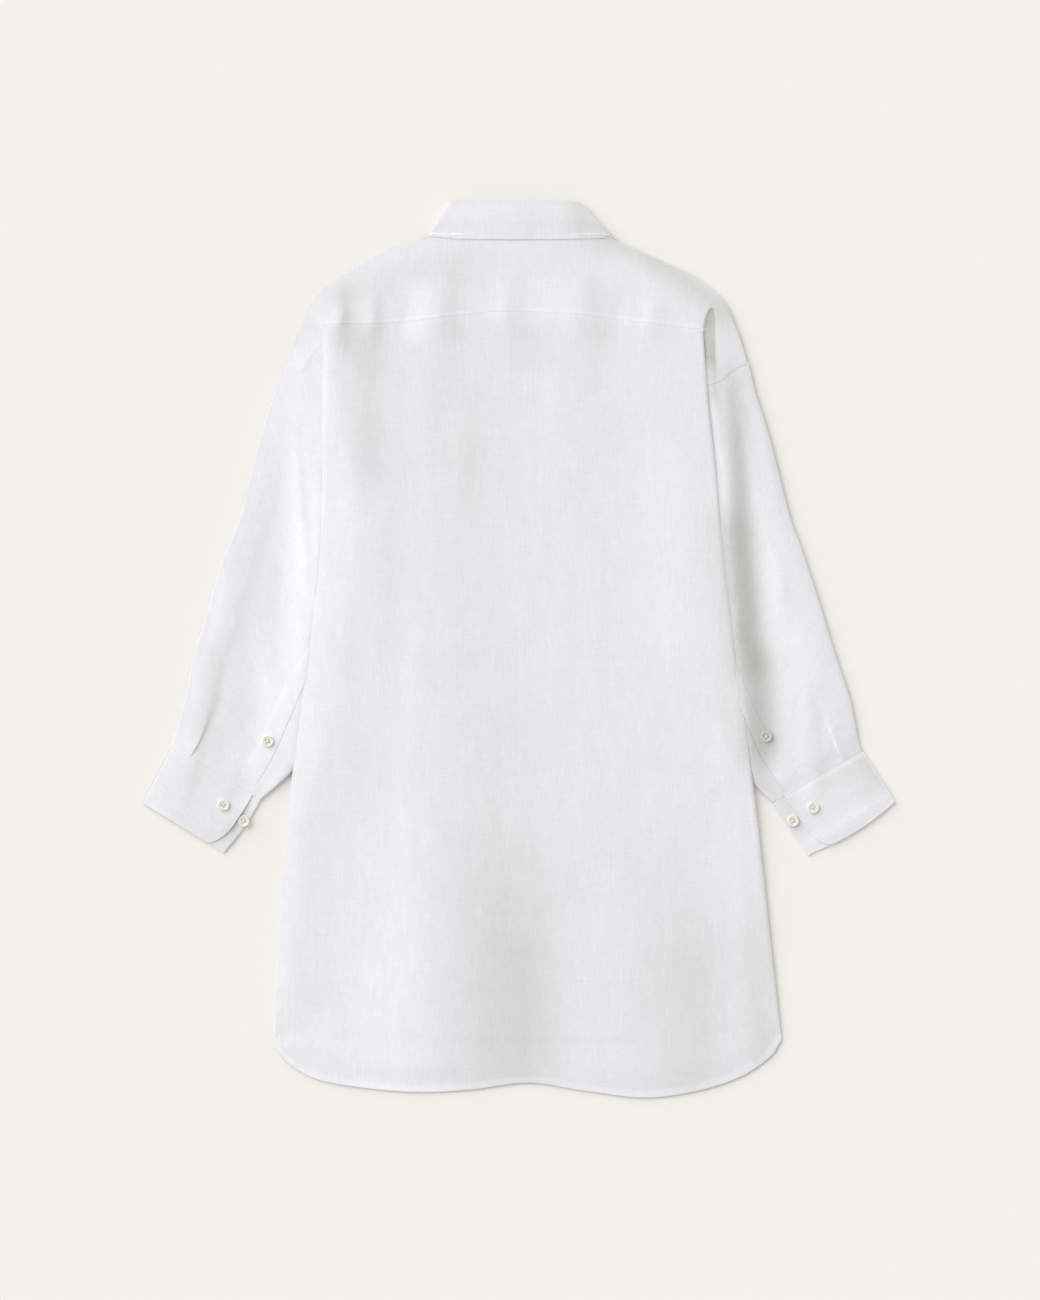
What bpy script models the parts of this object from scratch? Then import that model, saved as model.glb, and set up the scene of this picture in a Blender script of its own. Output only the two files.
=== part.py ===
"""A long white linen shirt with a collar, laid flat on its front with its back up.

Lengths are in millimetres and MM turns them into metres when a mesh is made. X runs across
the shirt to its wearer's right, Y runs up to the collar, and Z = 0 is the table. The layers
from the table up are the front's buttons, the two fronts, the sleeves, the back and yoke,
and the collar above the neck. A pale cloth wall is CLOTH thick, and pieces keep GAP apart.
"""
import math

import bmesh
import bpy
import numpy as np
from mathutils import Vector
from mathutils.geometry import delaunay_2d_cdt

MM = 0.001
CLOTH = 1.0             # wall of one layer of linen
CUFF_CLOTH = 1.5        # cuffs and collar leaf: two layers with interlining
STAND_CLOTH = 1.0       # collar stand, inside the leaf
GAP = 0.3               # clear distance between pieces at a seam
SEAM_CLEAR = 1.2        # how far a sleeve's end stays from the armhole seam line
SIDE_ROLL = 18.0        # width over which the back rounds down to its side edges
SLEEVE_FULL = 5.6       # outer height of a sleeve that lies free on the table
SLEEVE_FLAT = 4.3       # top of a sleeve pressed under the back
SLEEVE_ON_FRONT = 1.6   # underside of a sleeve where it lies on a front
BACK_HEIGHT = 5.9       # top of the back between its folds
BACK_OVER_SLEEVE = 8.0  # top of the back where it covers a sleeve
NECK_HEIGHT = 5.2       # top of the yoke where the collar lies on it
LIP_ON_FRONT = 2.3      # outer face at the edge of the back where it meets a front
LIP_ON_SLEEVE = 5.7     # the same where it lies on a sleeve
PLEAT_FLOOR = 3.0       # top of the yoke at the bottom of the sunk pleat
BAND_LIFT = 1.4         # extra there over the band of a sleeve opening
BAND_CLEAR = 0.1        # extra clearance of that band, whose few faces are flatter
FRONT_OVERLAP = 15.0    # each front passes the centre line by this much
BUTTON_ACROSS = 11.6
BUTTON_THICK = 2.4
BUTTON_OFF_TABLE = 0.1  # clear of the table below the front's buttons
FRONT_STEP = 42.0       # spacing of the points down a front
FRONT_BUTTONS = 7
FRONT_BUTTON_TOP = 280.0
FRONT_BUTTON_PITCH = 88.0
BUTTON_RIDGE = 2.9      # underside of the buttoned edge where it bridges over the buttons
RIDGE_HALF = 17.0       # half width of that bridge at its foot
LAP_LIFT = 1.7          # how much higher the left front lies than the right one at the lap
SLEEVE_EDGE = 2.9       # width over which a flattened sleeve rounds at its two edges
SHOULDER_ROLL = 12.0    # width over which the yoke rounds down to the shoulders
NECK_START = 352.0      # height on the shirt where the yoke starts to flatten to the neck
NECK_END = 398.0        # and where it is fully flat

# Side edges of the body, from the hem corner up to the yoke seam: x, y.
LEFT_EDGE = [(-243.0, -390), (-241.5, -330), (-233.5, -200), (-224.5, -112), (-215.5, -36),
             (-206.5, 30), (-198.5, 110), (-196.5, 250), (-195.5, 324)]
RIGHT_EDGE = [(263.0, -390), (255.0, -318), (240.0, -182), (228.5, -92), (217.0, -14),
              (205.5, 86), (196.5, 182), (189.0, 252), (184.5, 318)]
# Curved hem of the back, from the left corner to the right one, with its wave: x, y.
BACK_HEM = [(-243.0, -390), (-240, -402), (-218, -421), (-183, -433), (-110, -441), (-50, -439),
            (10, -432), (64, -440), (126, -448), (180, -440), (222, -426), (251, -407), (263, -390)]
# The front's hem is shorter and plainly curved: x, y.
FRONT_HEM = [(-238.0, -345), (-228, -368), (-180, -384), (-60, -388), (80, -389), (190, -384),
             (245, -368), (255, -345)]
# Yoke seam, from the left edge of the back to its right edge: x, y.
YOKE_SEAM = [(-195.5, 325), (-130, 325.5), (-55, 334), (-13, 337.5), (60, 334.5), (105, 328.5),
             (184.5, 319)]
# Shoulder outline from the neck out to the end of the armhole seam: x, y.
LEFT_SHOULDER = [(-97.0, 408.6), (-134, 397.5), (-180, 371), (-205, 349), (-222, 314), (-236.5, 271)]
RIGHT_SHOULDER = [(99.0, 407.6), (146, 387), (178, 371), (205, 348), (218.5, 319), (229.5, 285)]
# Armhole seams where they show, from the outer edge in to the side edge of the back: x, y.
LEFT_ARMHOLE = [(-236.5, 271), (-221, 274), (-208, 291), (-197.5, 304)]
RIGHT_ARMHOLE = [(229.5, 285), (217.5, 280.5), (203, 268.5), (188.6, 263)]
# Where each armhole seam goes on under the back.
LEFT_ARMHOLE_HIDDEN = [(-172.0, 314), (-128, 299)]
RIGHT_ARMHOLE_HIDDEN = [(160.0, 250), (118, 231)]

# Each row is a section across a sleeve from its outer edge to its inner edge, from armhole
# to cuff: outer x, outer y, inner x, inner y, share of the armhole seam's curve that it keeps.
LEFT_SLEEVE = [(-236.5, 271, -128, 299, 1), (-243, 256, -120, 262, 0.5), (-255.5, 219.5, -113, 222, 0.15),
               (-268.5, 171, -117, 172, 0), (-278.5, 129.5, -125, 122, 0), (-295.5, 88.5, -137, 74, 0),
               (-305, 57, -148, 36, 0), (-313, 27.5, -160, -2, 0), (-324.5, -8.5, -178, -48, 0),
               (-331.5, -44.5, -199, -92, 0), (-341, -80.5, -225.5, -121, 0),
               (-346.3, -95.2, -257.6, -148.6, 0)]
RIGHT_SLEEVE = [(229.5, 285, 118, 231, 1), (236.5, 257.5, 114, 206, 0.5), (246.5, 227.5, 112, 184, 0.15),
                (256.5, 191.5, 114, 156, 0), (271.5, 132.5, 122, 106, 0), (282, 103.5, 129, 78, 0),
                (297.5, 57.5, 141, 36, 0), (315.5, -1, 158, -18, 0), (330.5, -46.5, 182, -70, 0),
                (339.5, -88, 232.5, -131, 0), (344, -101.2, 253.5, -151, 0)]

# Each flattened cuff. Corners are outer top, outer bottom, inner bottom, inner top. The belly
# curves its lower edge out, the bow its inner edge. The overlap stops at a share of the width.
CUFFS = {
    "cuff_left": {"corners": [(-346.5, -96), (-376.5, -152.5), (-294.5, -203.5), (-257.2, -150)],
                  "belly": 0.0, "bow": 2.2, "overlap_end": 0.905},
    "cuff_right": {"corners": [(344.5, -102), (376.5, -151.5), (289.5, -206), (253.8, -152.6)],
                   "belly": 5.5, "bow": 0.6, "overlap_end": 0.87},
}
OVERLAP_CORNER = 0.135   # share of the width that the overlap's rounded corner takes
CORNER_START = 0.55      # share of the depth at which that corner starts

# Sleeve opening bands: left edge then right edge, top to bottom.
LEFT_BAND = [[(-209.5, 10), (-231, -22), (-249, -57.5), (-261, -86.5), (-283.5, -126.5)],
             [(-196.0, -4), (-214, -36), (-229.5, -70.5), (-246.5, -108.5), (-266.5, -137.5)]]
RIGHT_BAND = [[(190.0, 2), (209, -36), (226, -76), (240, -106), (259.5, -134.5)],
              [(205.5, 12), (223.5, -30), (240, -68), (256, -97), (280, -125.5)]]

# Sleeve buttons: node name, x, y, height of the cloth below the button.
SLEEVE_BUTTONS = [("button_placket_left", -250.3, -91.6, "band"),
                  ("button_cuff_left", -294.4, -155.2, "overlap"),
                  ("button_underlap_left", -274.4, -171.4, "underlap"),
                  ("button_placket_right", 247.4, -86.8, "band"),
                  ("button_cuff_right", 294.3, -157.8, "overlap"),
                  ("button_underlap_right", 274.3, -171.3, "underlap")]
CUFF_LEVEL = {"bottom": 0.75, "underlap": 2.55, "overlap": 4.35}   # middle of each layer

# Collar sections from the centre front round to the centre back, on the right half.
# fold x, fold y, free edge x, free edge y. A half round at the side joins the lower rows to
# the upper ones.
COLLAR_BELOW = [(4.0, 345, 50, 292), (22.0, 378, 70, 345), (42.0, 416, 83, 385)]
COLLAR_SIDE = (58.4, 446.0, 90.2, 410.4)
COLLAR_ABOVE = [(40.0, 447.6, 62, 410.0), (20.0, 448, 31, 409.4), (0.0, 448, 0, 409.2)]
LEAF_LEVEL = (0.75, 6.35)      # middle of the leaf below and on top
STAND_LEVEL = (2.4, 4.7)       # middle of the stand below and on top
STAND_DEPTH = 28.0
STAND_INSET = 3.0

# Large folds of the back: start x, start y, end x, end y, half width, rise.
BACK_FOLDS = [(-168.0, 330, -140, 120, 22, -0.7),
              (26.0, 300, 30, 60, 20, 0.5),
              (150.0, 290, 165, -40, 30, 0.8),
              (0.0, -250, -6, -500, 34, -1.9),
              (-120.0, -180, -140, -450, 60, 0.6),
              (100.0, -260, 90, -470, 34, 0.7),
              (190.0, -200, 170, -460, 36, -0.9)]

LINEN = (0.80, 0.80, 0.82, 1.0)
BUTTON_SHELL = (0.74, 0.72, 0.66, 1.0)


def smooth(share):
    """Ease from 0 to 1 as share goes from 0 to 1."""
    t = np.clip(share, 0.0, 1.0)
    return t * t * (3.0 - 2.0 * t)


def roll(distance, width):
    """Quarter round: 0 at an edge, 1 at width in from it."""
    t = 1.0 - np.clip(distance / width, 0.0, 1.0)
    return np.sqrt(1.0 - t * t)


def curve_through(points, step):
    """Sample a soft curve that passes through the points, about every step millimetres."""
    pts = [np.array(p, dtype=float) for p in points]
    ends = [2 * pts[0] - pts[1]] + pts + [2 * pts[-1] - pts[-2]]
    line = []
    for before, start, end, after in zip(ends, ends[1:], ends[2:], ends[3:]):
        parts = max(1, round(np.linalg.norm(end - start) / step))
        for k in range(parts):
            t = k / parts
            line.append(0.5 * (2 * start + (end - before) * t
                               + (2 * before - 5 * start + 4 * end - after) * t ** 2
                               + (3 * start - before - 3 * end + after) * t ** 3))
    line.append(pts[-1])
    return [(float(p[0]), float(p[1])) for p in line]


def distance_to(line, x, y):
    """Shortest distance from the points to a line of straight runs."""
    best = np.full(np.shape(x), 1e9)
    for (x0, y0), (x1, y1) in zip(line, line[1:]):
        dx, dy = x1 - x0, y1 - y0
        t = np.clip(((x - x0) * dx + (y - y0) * dy) / (dx * dx + dy * dy), 0, 1)
        best = np.minimum(best, np.hypot(x - x0 - t * dx, y - y0 - t * dy))
    return best


def edge_x(edge, y):
    """x of a side edge at height y."""
    ys = [p[1] for p in edge]
    xs = [p[0] for p in edge]
    return np.interp(y, ys, xs)


def outside_body(x, y):
    """How far a point is outside the body's side edges; negative inside."""
    return np.maximum(edge_x(LEFT_EDGE, y) - x, x - edge_x(RIGHT_EDGE, y))


def fold_rise(folds, x, y):
    """Sum of soft ridges and troughs that fade at both ends."""
    total = np.zeros(np.shape(x))
    for x0, y0, x1, y1, half_width, rise in folds:
        length = math.hypot(x1 - x0, y1 - y0)
        ux, uy = (x1 - x0) / length, (y1 - y0) / length
        along = (x - x0) * ux + (y - y0) * uy
        across = (x - x0) * uy - (y - y0) * ux
        fade = smooth(along / length * 4) * smooth((length - along) / length * 4)
        total += rise * fade * np.exp(-(across / half_width) ** 2)
    return total


def collar_cover(x, y):
    """1 where the collar's front leaves lie under the fronts, 0 well away from them."""
    reach = 58.0 + 0.35 * (y - 285.0)
    return smooth((reach + 44.0 - np.abs(x)) / 22.0) * smooth((y - 216.0) / 56.0)


def front_under(x, y):
    """Underside of the outer, right front: on the table, over the buttons and the collar."""
    buttons_end = FRONT_BUTTON_TOP - (FRONT_BUTTONS - 1) * FRONT_BUTTON_PITCH
    beside = smooth((RIDGE_HALF - np.abs(x)) / 9.0)
    ridge = BUTTON_RIDGE * beside * smooth((y - buttons_end + 66.0) / 54.0)
    collar = (CUFF_CLOTH + GAP) * collar_cover(x, y)
    return np.maximum(ridge, collar)


def left_front_under(x, y):
    """Underside of the left front, which passes over the right one at the centre."""
    lap = LAP_LIFT * smooth((x + FRONT_OVERLAP + 14.0) / 12.0)
    return front_under(x, y) + lap


def sleeve_under(x, y):
    """Underside of a sleeve: on the table, or on a front inside the body's edge."""
    return SLEEVE_ON_FRONT * smooth((30.0 - outside_body(x, y)) / 18.0)


def sleeve_over(x, y):
    """Top of a sleeve: pressed under the back, rounder where it lies free."""
    return SLEEVE_FLAT + (SLEEVE_FULL - SLEEVE_FLAT) * smooth((outside_body(x, y) - 3.0) / 26.0)


def side_edges():
    return [curve_through(LEFT_EDGE, 20.0), curve_through(RIGHT_EDGE, 20.0)]


def body_top(x, y):
    """Top of the back and the yoke before their edges: higher over the sleeves, low at the neck."""
    inside_body = -outside_body(x, y)
    over_sleeve = smooth((y + 165.0) / 60.0) * smooth((100.0 - inside_body) / 70.0)
    over_sleeve = over_sleeve * smooth((345.0 - y) / 50.0)
    top = BACK_HEIGHT + (BACK_OVER_SLEEVE - BACK_HEIGHT) * over_sleeve
    top = top + fold_rise(BACK_FOLDS, x, y)
    top = top + (NECK_HEIGHT - top) * smooth((y - NECK_START) / (NECK_END - NECK_START))
    placket = left_front_under(x, y) + 2.0 * CLOTH + 3.0 * GAP
    return np.where((x < FRONT_OVERLAP + 12.0) & (y < 330.0), np.maximum(top, placket), top)


def back_height(x, y):
    """Outer face of the back."""
    top = body_top(x, y)
    on_sleeve = smooth((y + 178.0) / 34.0)
    on_band = smooth((y + 120.0) / 30.0) * smooth((50.0 - y) / 30.0)
    lip = LIP_ON_FRONT + (LIP_ON_SLEEVE - LIP_ON_FRONT) * on_sleeve + BAND_LIFT * on_band
    sides = np.minimum(*[distance_to(edge, x, y) for edge in side_edges()])
    top = lip + (np.maximum(top, lip + 0.6) - lip) * roll(sides, SIDE_ROLL)
    hem = distance_to(BACK_HEM, x, y)
    hem_lip = LIP_ON_FRONT + 0.3
    return hem_lip + (top - hem_lip) * smooth((hem + 6.0) / 34.0)


def yoke_height(x, y):
    """Outer face of the yoke, with the sunk pleat between it and the back's right edge."""
    top = body_top(x, y)
    pleat_line = [(193.0, 352), (191.0, 300), (194.0, 255)]
    pleat = 1.0 - smooth((distance_to(pleat_line, x, y) - 3.0) / 8.0)
    top = top + (PLEAT_FLOOR - top) * pleat * smooth((NECK_START - y) / 20.0)
    shoulders = LEFT_SHOULDER, RIGHT_SHOULDER
    edge = np.minimum(*[distance_to(curve_through(line, 12.0), x, y) for line in shoulders])
    lip = LIP_ON_FRONT + (CUFF_CLOTH + GAP) * collar_cover(x, y)
    return lip + (top - lip) * roll(edge, SHOULDER_ROLL)


def inset_loop(outline, offset):
    """The points of a counter-clockwise outline moved inwards, left out where they crowd."""
    ring = []
    for before, here, after in zip(outline[-1:] + outline[:-1], outline, outline[1:] + outline[:1]):
        dx, dy = after[0] - before[0], after[1] - before[1]
        length = math.hypot(dx, dy)
        x, y = here[0] - dy / length * offset, here[1] + dx / length * offset
        near = any(math.hypot(x - a, y - b) < 0.8 * offset for a, b in ring)
        if not near and float(distance_to(outline + outline[:1], x, y)) > 0.85 * offset:
            ring.append((x, y))
    return ring


def inside(outline, x, y):
    """Whether a point is inside a closed outline."""
    hit = False
    for (x0, y0), (x1, y1) in zip(outline, outline[1:] + outline[:1]):
        if (y0 > y) != (y1 > y) and x < x0 + (y - y0) * (x1 - x0) / (y1 - y0):
            hit = not hit
    return hit


def grid_inside(outline, columns, rows, clear):
    """Grid points inside an outline and clear of its edge."""
    loop = outline + outline[:1]
    found = []
    for y in rows:
        for x in columns:
            if inside(outline, x, y) and float(distance_to(loop, x, y)) > clear:
                found.append((float(x), float(y)))
    return found


def material(name, colour, roughness):
    """A plain Principled material, made once."""
    found = bpy.data.materials.get(name)
    if found:
        return found
    made = bpy.data.materials.new(name)
    made.use_nodes = True
    shader = made.node_tree.nodes["Principled BSDF"]
    shader.inputs["Base Color"].default_value = colour
    shader.inputs["Roughness"].default_value = roughness
    shader.inputs["Metallic"].default_value = 0.0
    return made


def add_object(name, verts, faces, colour=LINEN, roughness=0.85):
    """Make a named, smooth-shaded object from millimetre points."""
    mesh = bpy.data.meshes.new(name)
    mesh.from_pydata([Vector(v) * MM for v in verts], [], faces)
    mesh.materials.append(material(name + "_finish", colour, roughness))
    mesh.shade_smooth()
    made = bpy.data.objects.new(name, mesh)
    bpy.data.collections["shirt"].objects.link(made)
    return made


def add_wall(made, thickness, offset=-1.0):
    """Give an open surface its cloth thickness, inwards from its outer face."""
    wall = made.modifiers.new("wall", "SOLIDIFY")
    wall.thickness = thickness * MM
    wall.offset = offset
    wall.use_rim = True
    wall.use_even_offset = False


def add_panel(name, outline, height, columns, rows, rings=(), clear=12.0, wall_side=-1.0):
    """A cloth panel: the filled outline lifted to its height, with its wall below or above."""
    points = list(outline)
    for offset in rings:
        points += inset_loop(outline, offset)
    points += grid_inside(outline, columns, rows, clear)
    loop = [(k, (k + 1) % len(outline)) for k in range(len(outline))]
    flat, _, faces, _, _, _ = delaunay_2d_cdt([Vector(p) for p in points], loop, [], 1, 1e-4)
    xs = np.array([p[0] for p in flat])
    ys = np.array([p[1] for p in flat])
    zs = height(xs, ys)
    verts = list(zip(xs.tolist(), ys.tolist(), zs.tolist()))
    made = add_object(name, verts, faces)
    add_wall(made, CLOTH, wall_side)


def reverse(line):
    return list(reversed(line))


def shifted(line, dx, dy):
    return [(x + dx, y + dy) for x, y in line]


def make_back():
    """Back panel: straight sides over the sleeves, curved hem, straight top at the yoke."""
    left = curve_through(LEFT_EDGE, 30.0)
    right = curve_through(RIGHT_EDGE, 30.0)
    hem = curve_through(BACK_HEM, 26.0)
    seam = shifted(curve_through(YOKE_SEAM, 30.0), 0.0, -GAP)
    outline = hem[:-1] + right[:-1] + reverse(seam)[:-1] + reverse(left)[:-1]
    columns = sorted(list(np.arange(-230, -40, 30.0)) + [-28.0, -10, 10, 28] + list(np.arange(58, 250, 30.0)))
    add_panel("back", outline, back_height, columns, np.arange(-430, 330, 32.0),
              rings=(1.8, 7.0, 17.0), clear=26.0)


def make_yoke():
    """Yoke: from the collar to the yoke seam, out over both shoulders to the armhole seams."""
    neck = [(99.0, 407.6), (86, 409.2), (76, 414), (57, 415), (38, 415), (19, 415), (0, 415),
            (-19, 415), (-38, 415), (-57, 415), (-74, 414), (-84, 409.4), (-97.0, 408.6)]
    left = curve_through(LEFT_SHOULDER, 18.0)
    left_hole = curve_through(LEFT_ARMHOLE, 14.0)
    right = curve_through(RIGHT_SHOULDER, 18.0)
    right_hole = curve_through(RIGHT_ARMHOLE, 14.0)
    left_side = [(-196.5, 306.0), (-196.2, 325.0)]
    seam = curve_through(YOKE_SEAM, 26.0)[1:-1]
    right_side = [(185.4, 319.4), (189.3, 264.4)]
    outline = (neck + left[1:-1] + left_hole[:-1] + left_side + seam + right_side
               + reverse(right_hole)[1:-1] + reverse(right)[:-1])
    add_panel("yoke", outline, yoke_height, np.arange(-210, 230, 24.0), np.arange(270, 410, 22.0),
              rings=(1.8, 6.5), clear=13.0)


def centre_rows():
    """Heights of the points down the centre edges, closer together under the collar."""
    return list(np.arange(-366.0, 200.0, FRONT_STEP)) + [210.0, 232, 254, 276, 298]


def front_outline(side):
    """Outline of one front; side is -1 for the left one and 1 for the right one."""
    edge = LEFT_EDGE if side < 0 else RIGHT_EDGE
    shoulder = LEFT_SHOULDER if side < 0 else RIGHT_SHOULDER
    armhole = LEFT_ARMHOLE if side < 0 else RIGHT_ARMHOLE
    hem = [(x, y) for x, y in curve_through(FRONT_HEM, 30.0) if x * side > -FRONT_OVERLAP + 4]
    hem = hem if side > 0 else reverse(hem)
    armhole_line = [(x - side * 1.5, y + 1.5) for x, y in reverse(curve_through(armhole, 20.0))]
    side_line = [(x - side * 1.2, y) for x, y in curve_through(edge, FRONT_STEP)
                 if -340 < y < armhole_line[0][1] - 8.0]
    top_line = [(x - side * 1.6, y - 1.0) for x, y in reverse(curve_through(shoulder, 22.0))]
    neck = [(side * 70.0, 370), (side * 44, 337), (side * 24, 320), (-side * FRONT_OVERLAP, 314)]
    centre = [(-side * FRONT_OVERLAP, y) for y in reverse(centre_rows())]
    start = [(-side * FRONT_OVERLAP, -388.5)]
    outline = start + hem + side_line + armhole_line + top_line[1:] + neck + centre
    return outline if side > 0 else reverse(outline)


def make_fronts():
    """Two fronts face down on the table; the right one is the outer one and lies lowest."""
    rows = centre_rows() + [325.0, 352, 380]
    shared = [-11.0, -8, 0, 8, 11]
    right = shared + [17.0, 23, 55, 80, 105, 135, 180]
    left = shared + [-17.0, -23, -29, -55, -80, -105, -135, -180]
    for name, side, under, columns in (("front_right", 1, front_under, right),
                                       ("front_left", -1, left_front_under, left)):
        add_panel(name, front_outline(side), under, columns, rows, clear=3.0, wall_side=1.0)


def armhole_bend(side, u):
    """How far an armhole seam bends from the straight line between its ends, at share u."""
    shown, hidden = ((LEFT_ARMHOLE, LEFT_ARMHOLE_HIDDEN) if side < 0
                     else (RIGHT_ARMHOLE, RIGHT_ARMHOLE_HIDDEN))
    seam = shown + hidden
    x = seam[0][0] + (seam[-1][0] - seam[0][0]) * u
    order = seam if side < 0 else reverse(seam)
    on_seam = float(np.interp(x, [p[0] for p in order], [p[1] for p in order]))
    return on_seam - (seam[0][1] + (seam[-1][1] - seam[0][1]) * u)


def sleeve_loop(section, inset):
    """Points round one section of a flattened sleeve, inset from its outer face."""
    x0, y0, x1, y1, curve_share = section
    side = math.copysign(1, x0)
    width = math.hypot(x1 - x0, y1 - y0)
    edge_steps = [0.0, 0.8, 2.8]
    middle = np.linspace(0.055, 0.945, 10) * width
    across = edge_steps + list(middle) + [width - s for s in reverse(edge_steps)]
    loop = []
    for face in (1, -1):
        run = across if face > 0 else reverse(across)[1:-1]
        for s in run:
            u = s / width
            x = x0 + (x1 - x0) * (inset + u * (width - 2 * inset)) / width
            y = y0 + (y1 - y0) * (inset + u * (width - 2 * inset)) / width
            y += curve_share * (armhole_bend(side, u) - SEAM_CLEAR)
            low = float(sleeve_under(x, y)) + inset
            high = float(sleeve_over(x, y)) - inset
            half = 0.5 * (high - low) * float(roll(min(s, width - s), SLEEVE_EDGE))
            loop.append((x, y, 0.5 * (low + high) + face * half))
    return loop


def make_sleeve(name, sections):
    """A sleeve as a flattened tube, open at the armhole and at the cuff."""
    outer = [sleeve_loop(section, 0.0) for section in sections]
    inner = [sleeve_loop(section, CLOTH) for section in sections]
    count = len(outer[0])
    verts = [p for loop in outer + inner for p in loop]
    first_inner = len(sections) * count
    faces = []
    for k in range(len(sections) - 1):
        for j in range(count):
            a, b = k * count + j, k * count + (j + 1) % count
            faces.append((a, b, b + count, a + count))
            a, b = a + first_inner, b + first_inner
            faces.append((b, a, a + count, b + count))
    last = (len(sections) - 1) * count
    for j in range(count):
        n = (j + 1) % count
        faces.append((n, j, first_inner + j, first_inner + n))
        faces.append((last + j, last + n, first_inner + last + n, first_inner + last + j))
    made = add_object(name, verts, faces)
    turn_out(made)


def turn_out(made):
    """Point every face of a closed mesh outwards."""
    shape = bmesh.new()
    shape.from_mesh(made.data)
    bmesh.ops.recalc_face_normals(shape, faces=shape.faces)
    shape.to_mesh(made.data)
    shape.free()


def cuff_point(cuff, a, b):
    """A place on a flattened cuff: a from outer to inner edge, b from seam to lower edge."""
    outer_top, outer_low, inner_low, inner_top = [np.array(c) for c in cuff["corners"]]
    top = outer_top + (inner_top - outer_top) * a
    low = outer_low + (inner_low - outer_low) * a
    place = top + (low - top) * b
    down = (low - top) / np.linalg.norm(low - top)
    inwards = (inner_top - outer_top) / np.linalg.norm(inner_top - outer_top)
    place = place + inwards * cuff["bow"] * a ** 4 * 4.0 * b * (1.0 - b)
    return place + down * cuff["belly"] * b * 4.0 * a * max(0.0, 0.93 - a)


def overlap_end(cuff, b):
    """Where the overlap stops at depth b: straight, then a rounded corner."""
    t = max(0.0, (b - CORNER_START) / (1.0 - CORNER_START))
    return cuff["overlap_end"] - OVERLAP_CORNER * (1.0 - math.sqrt(max(0.0, 1.0 - t * t)))


def cuff_section(cuff, b):
    """The cuff's middle line at depth b, as (a, z): overlap, outer fold, below, inner fold."""
    low, mid, high = CUFF_LEVEL["bottom"], CUFF_LEVEL["underlap"], CUFF_LEVEL["overlap"]
    end = overlap_end(cuff, b)
    line = [(end * s, high) for s in (1.0, 0.75, 0.5, 0.25)]
    outer_radius = 0.5 * (high - low)
    for k in range(5):
        angle = math.pi * k / 4
        line.append((0.03 - 0.018 * math.sin(angle), low + outer_radius * (1 + math.cos(angle))))
    line += [(a, low) for a in (0.25, 0.5, 0.75)]
    inner_radius = 0.5 * (mid - low)
    for k in range(5):
        angle = math.pi * k / 4
        line.append((0.985 + 0.009 * math.sin(angle), mid - inner_radius * (1 + math.cos(angle))))
    return line + [(0.9, mid), (0.76, mid)]


def make_cuff(name, cuff):
    """A buttoned cuff, flattened: one band whose rounded end lies over its square end."""
    depths = [0.0, 0.28, 0.55, 0.72, 0.84, 0.93, 1.0]
    rows = []
    for b in depths:
        rows.append([(*cuff_point(cuff, a, b), z) for a, z in cuff_section(cuff, b)])
    count = len(rows[0])
    verts = [p for row in rows for p in row]
    faces = []
    for k in range(len(rows) - 1):
        for j in range(count - 1):
            a = k * count + j
            faces.append((a, a + 1, a + 1 + count, a + count))
    made = add_object(name, verts, faces)
    add_wall(made, CUFF_CLOTH, offset=0.0)


def band_height(x, y):
    """Outer face of a sleeve opening's band."""
    return sleeve_over(x, y) + GAP + CLOTH + BAND_CLEAR


def make_band(name, edges):
    """The band along a sleeve opening: lies on the sleeve, made from its own top."""
    left, right = [curve_through(edge, 26.0) for edge in edges]
    add_panel(name, left + reverse(right), band_height, [], [])


def collar_sections(levels, depth_limit, inset):
    """Sections of a collar piece round the neck, each as (fold point, free edge point)."""
    low, high = levels
    radius = 0.5 * (high - low)
    turn = [math.pi * k / 5 for k in range(6)]
    rows = [(*row, low, 0.0) for row in COLLAR_BELOW]
    rows += [(*COLLAR_SIDE, low + radius * (1 - math.cos(a)), radius * math.sin(a)) for a in turn]
    rows += [(*row, high, 0.0) for row in COLLAR_ABOVE]
    half = []
    for fx, fy, ex, ey, z, bulge in rows:
        reach = math.hypot(ex - fx, ey - fy)
        ux, uy = (ex - fx) / reach, (ey - fy) / reach
        depth = min(reach - inset, depth_limit)
        start = (fx * (1.0 - inset / 60.0) - uy * bulge, fy - inset * 0.4 + ux * bulge, z)
        half.append((start, (start[0] + ux * depth, start[1] + uy * depth, z)))
    mirror = [((-a[0], a[1], a[2]), (-b[0], b[1], b[2])) for a, b in half[:-1]]
    return half + reverse(mirror)


def make_collar_piece(name, levels, depth_limit, inset, thickness):
    """A band round the flattened neck, from one centre-front end to the other."""
    shares = (0.0, 0.33, 0.67, 1.0)
    rows = []
    for start, end in collar_sections(levels, depth_limit, inset):
        rows.append([tuple(a + (b - a) * s for a, b in zip(start, end)) for s in shares])
    count = len(shares)
    verts = [p for row in rows for p in row]
    faces = []
    for k in range(len(rows) - 1):
        for j in range(count - 1):
            a = k * count + j
            faces.append((a, a + 1, a + 1 + count, a + count))
    made = add_object(name, verts, faces)
    add_wall(made, thickness, offset=0.0)


def button_mesh():
    """A turned shirt button with a raised rim, face up, its underside at z = 0."""
    r = BUTTON_ACROSS / 2
    profile = [(0.0, 0.72), (0.52, 0.72), (0.70, 1.0), (0.88, 0.98), (1.0, 0.62), (0.92, 0.12), (0.6, 0.0),
               (0.0, 0.0)]
    mesh = bpy.data.meshes.new("button_profile")
    verts = [(r * share * MM, 0.0, BUTTON_THICK * level * MM) for share, level in profile]
    mesh.from_pydata(verts, [(k, k + 1) for k in range(len(verts) - 1)], [])
    return mesh


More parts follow.
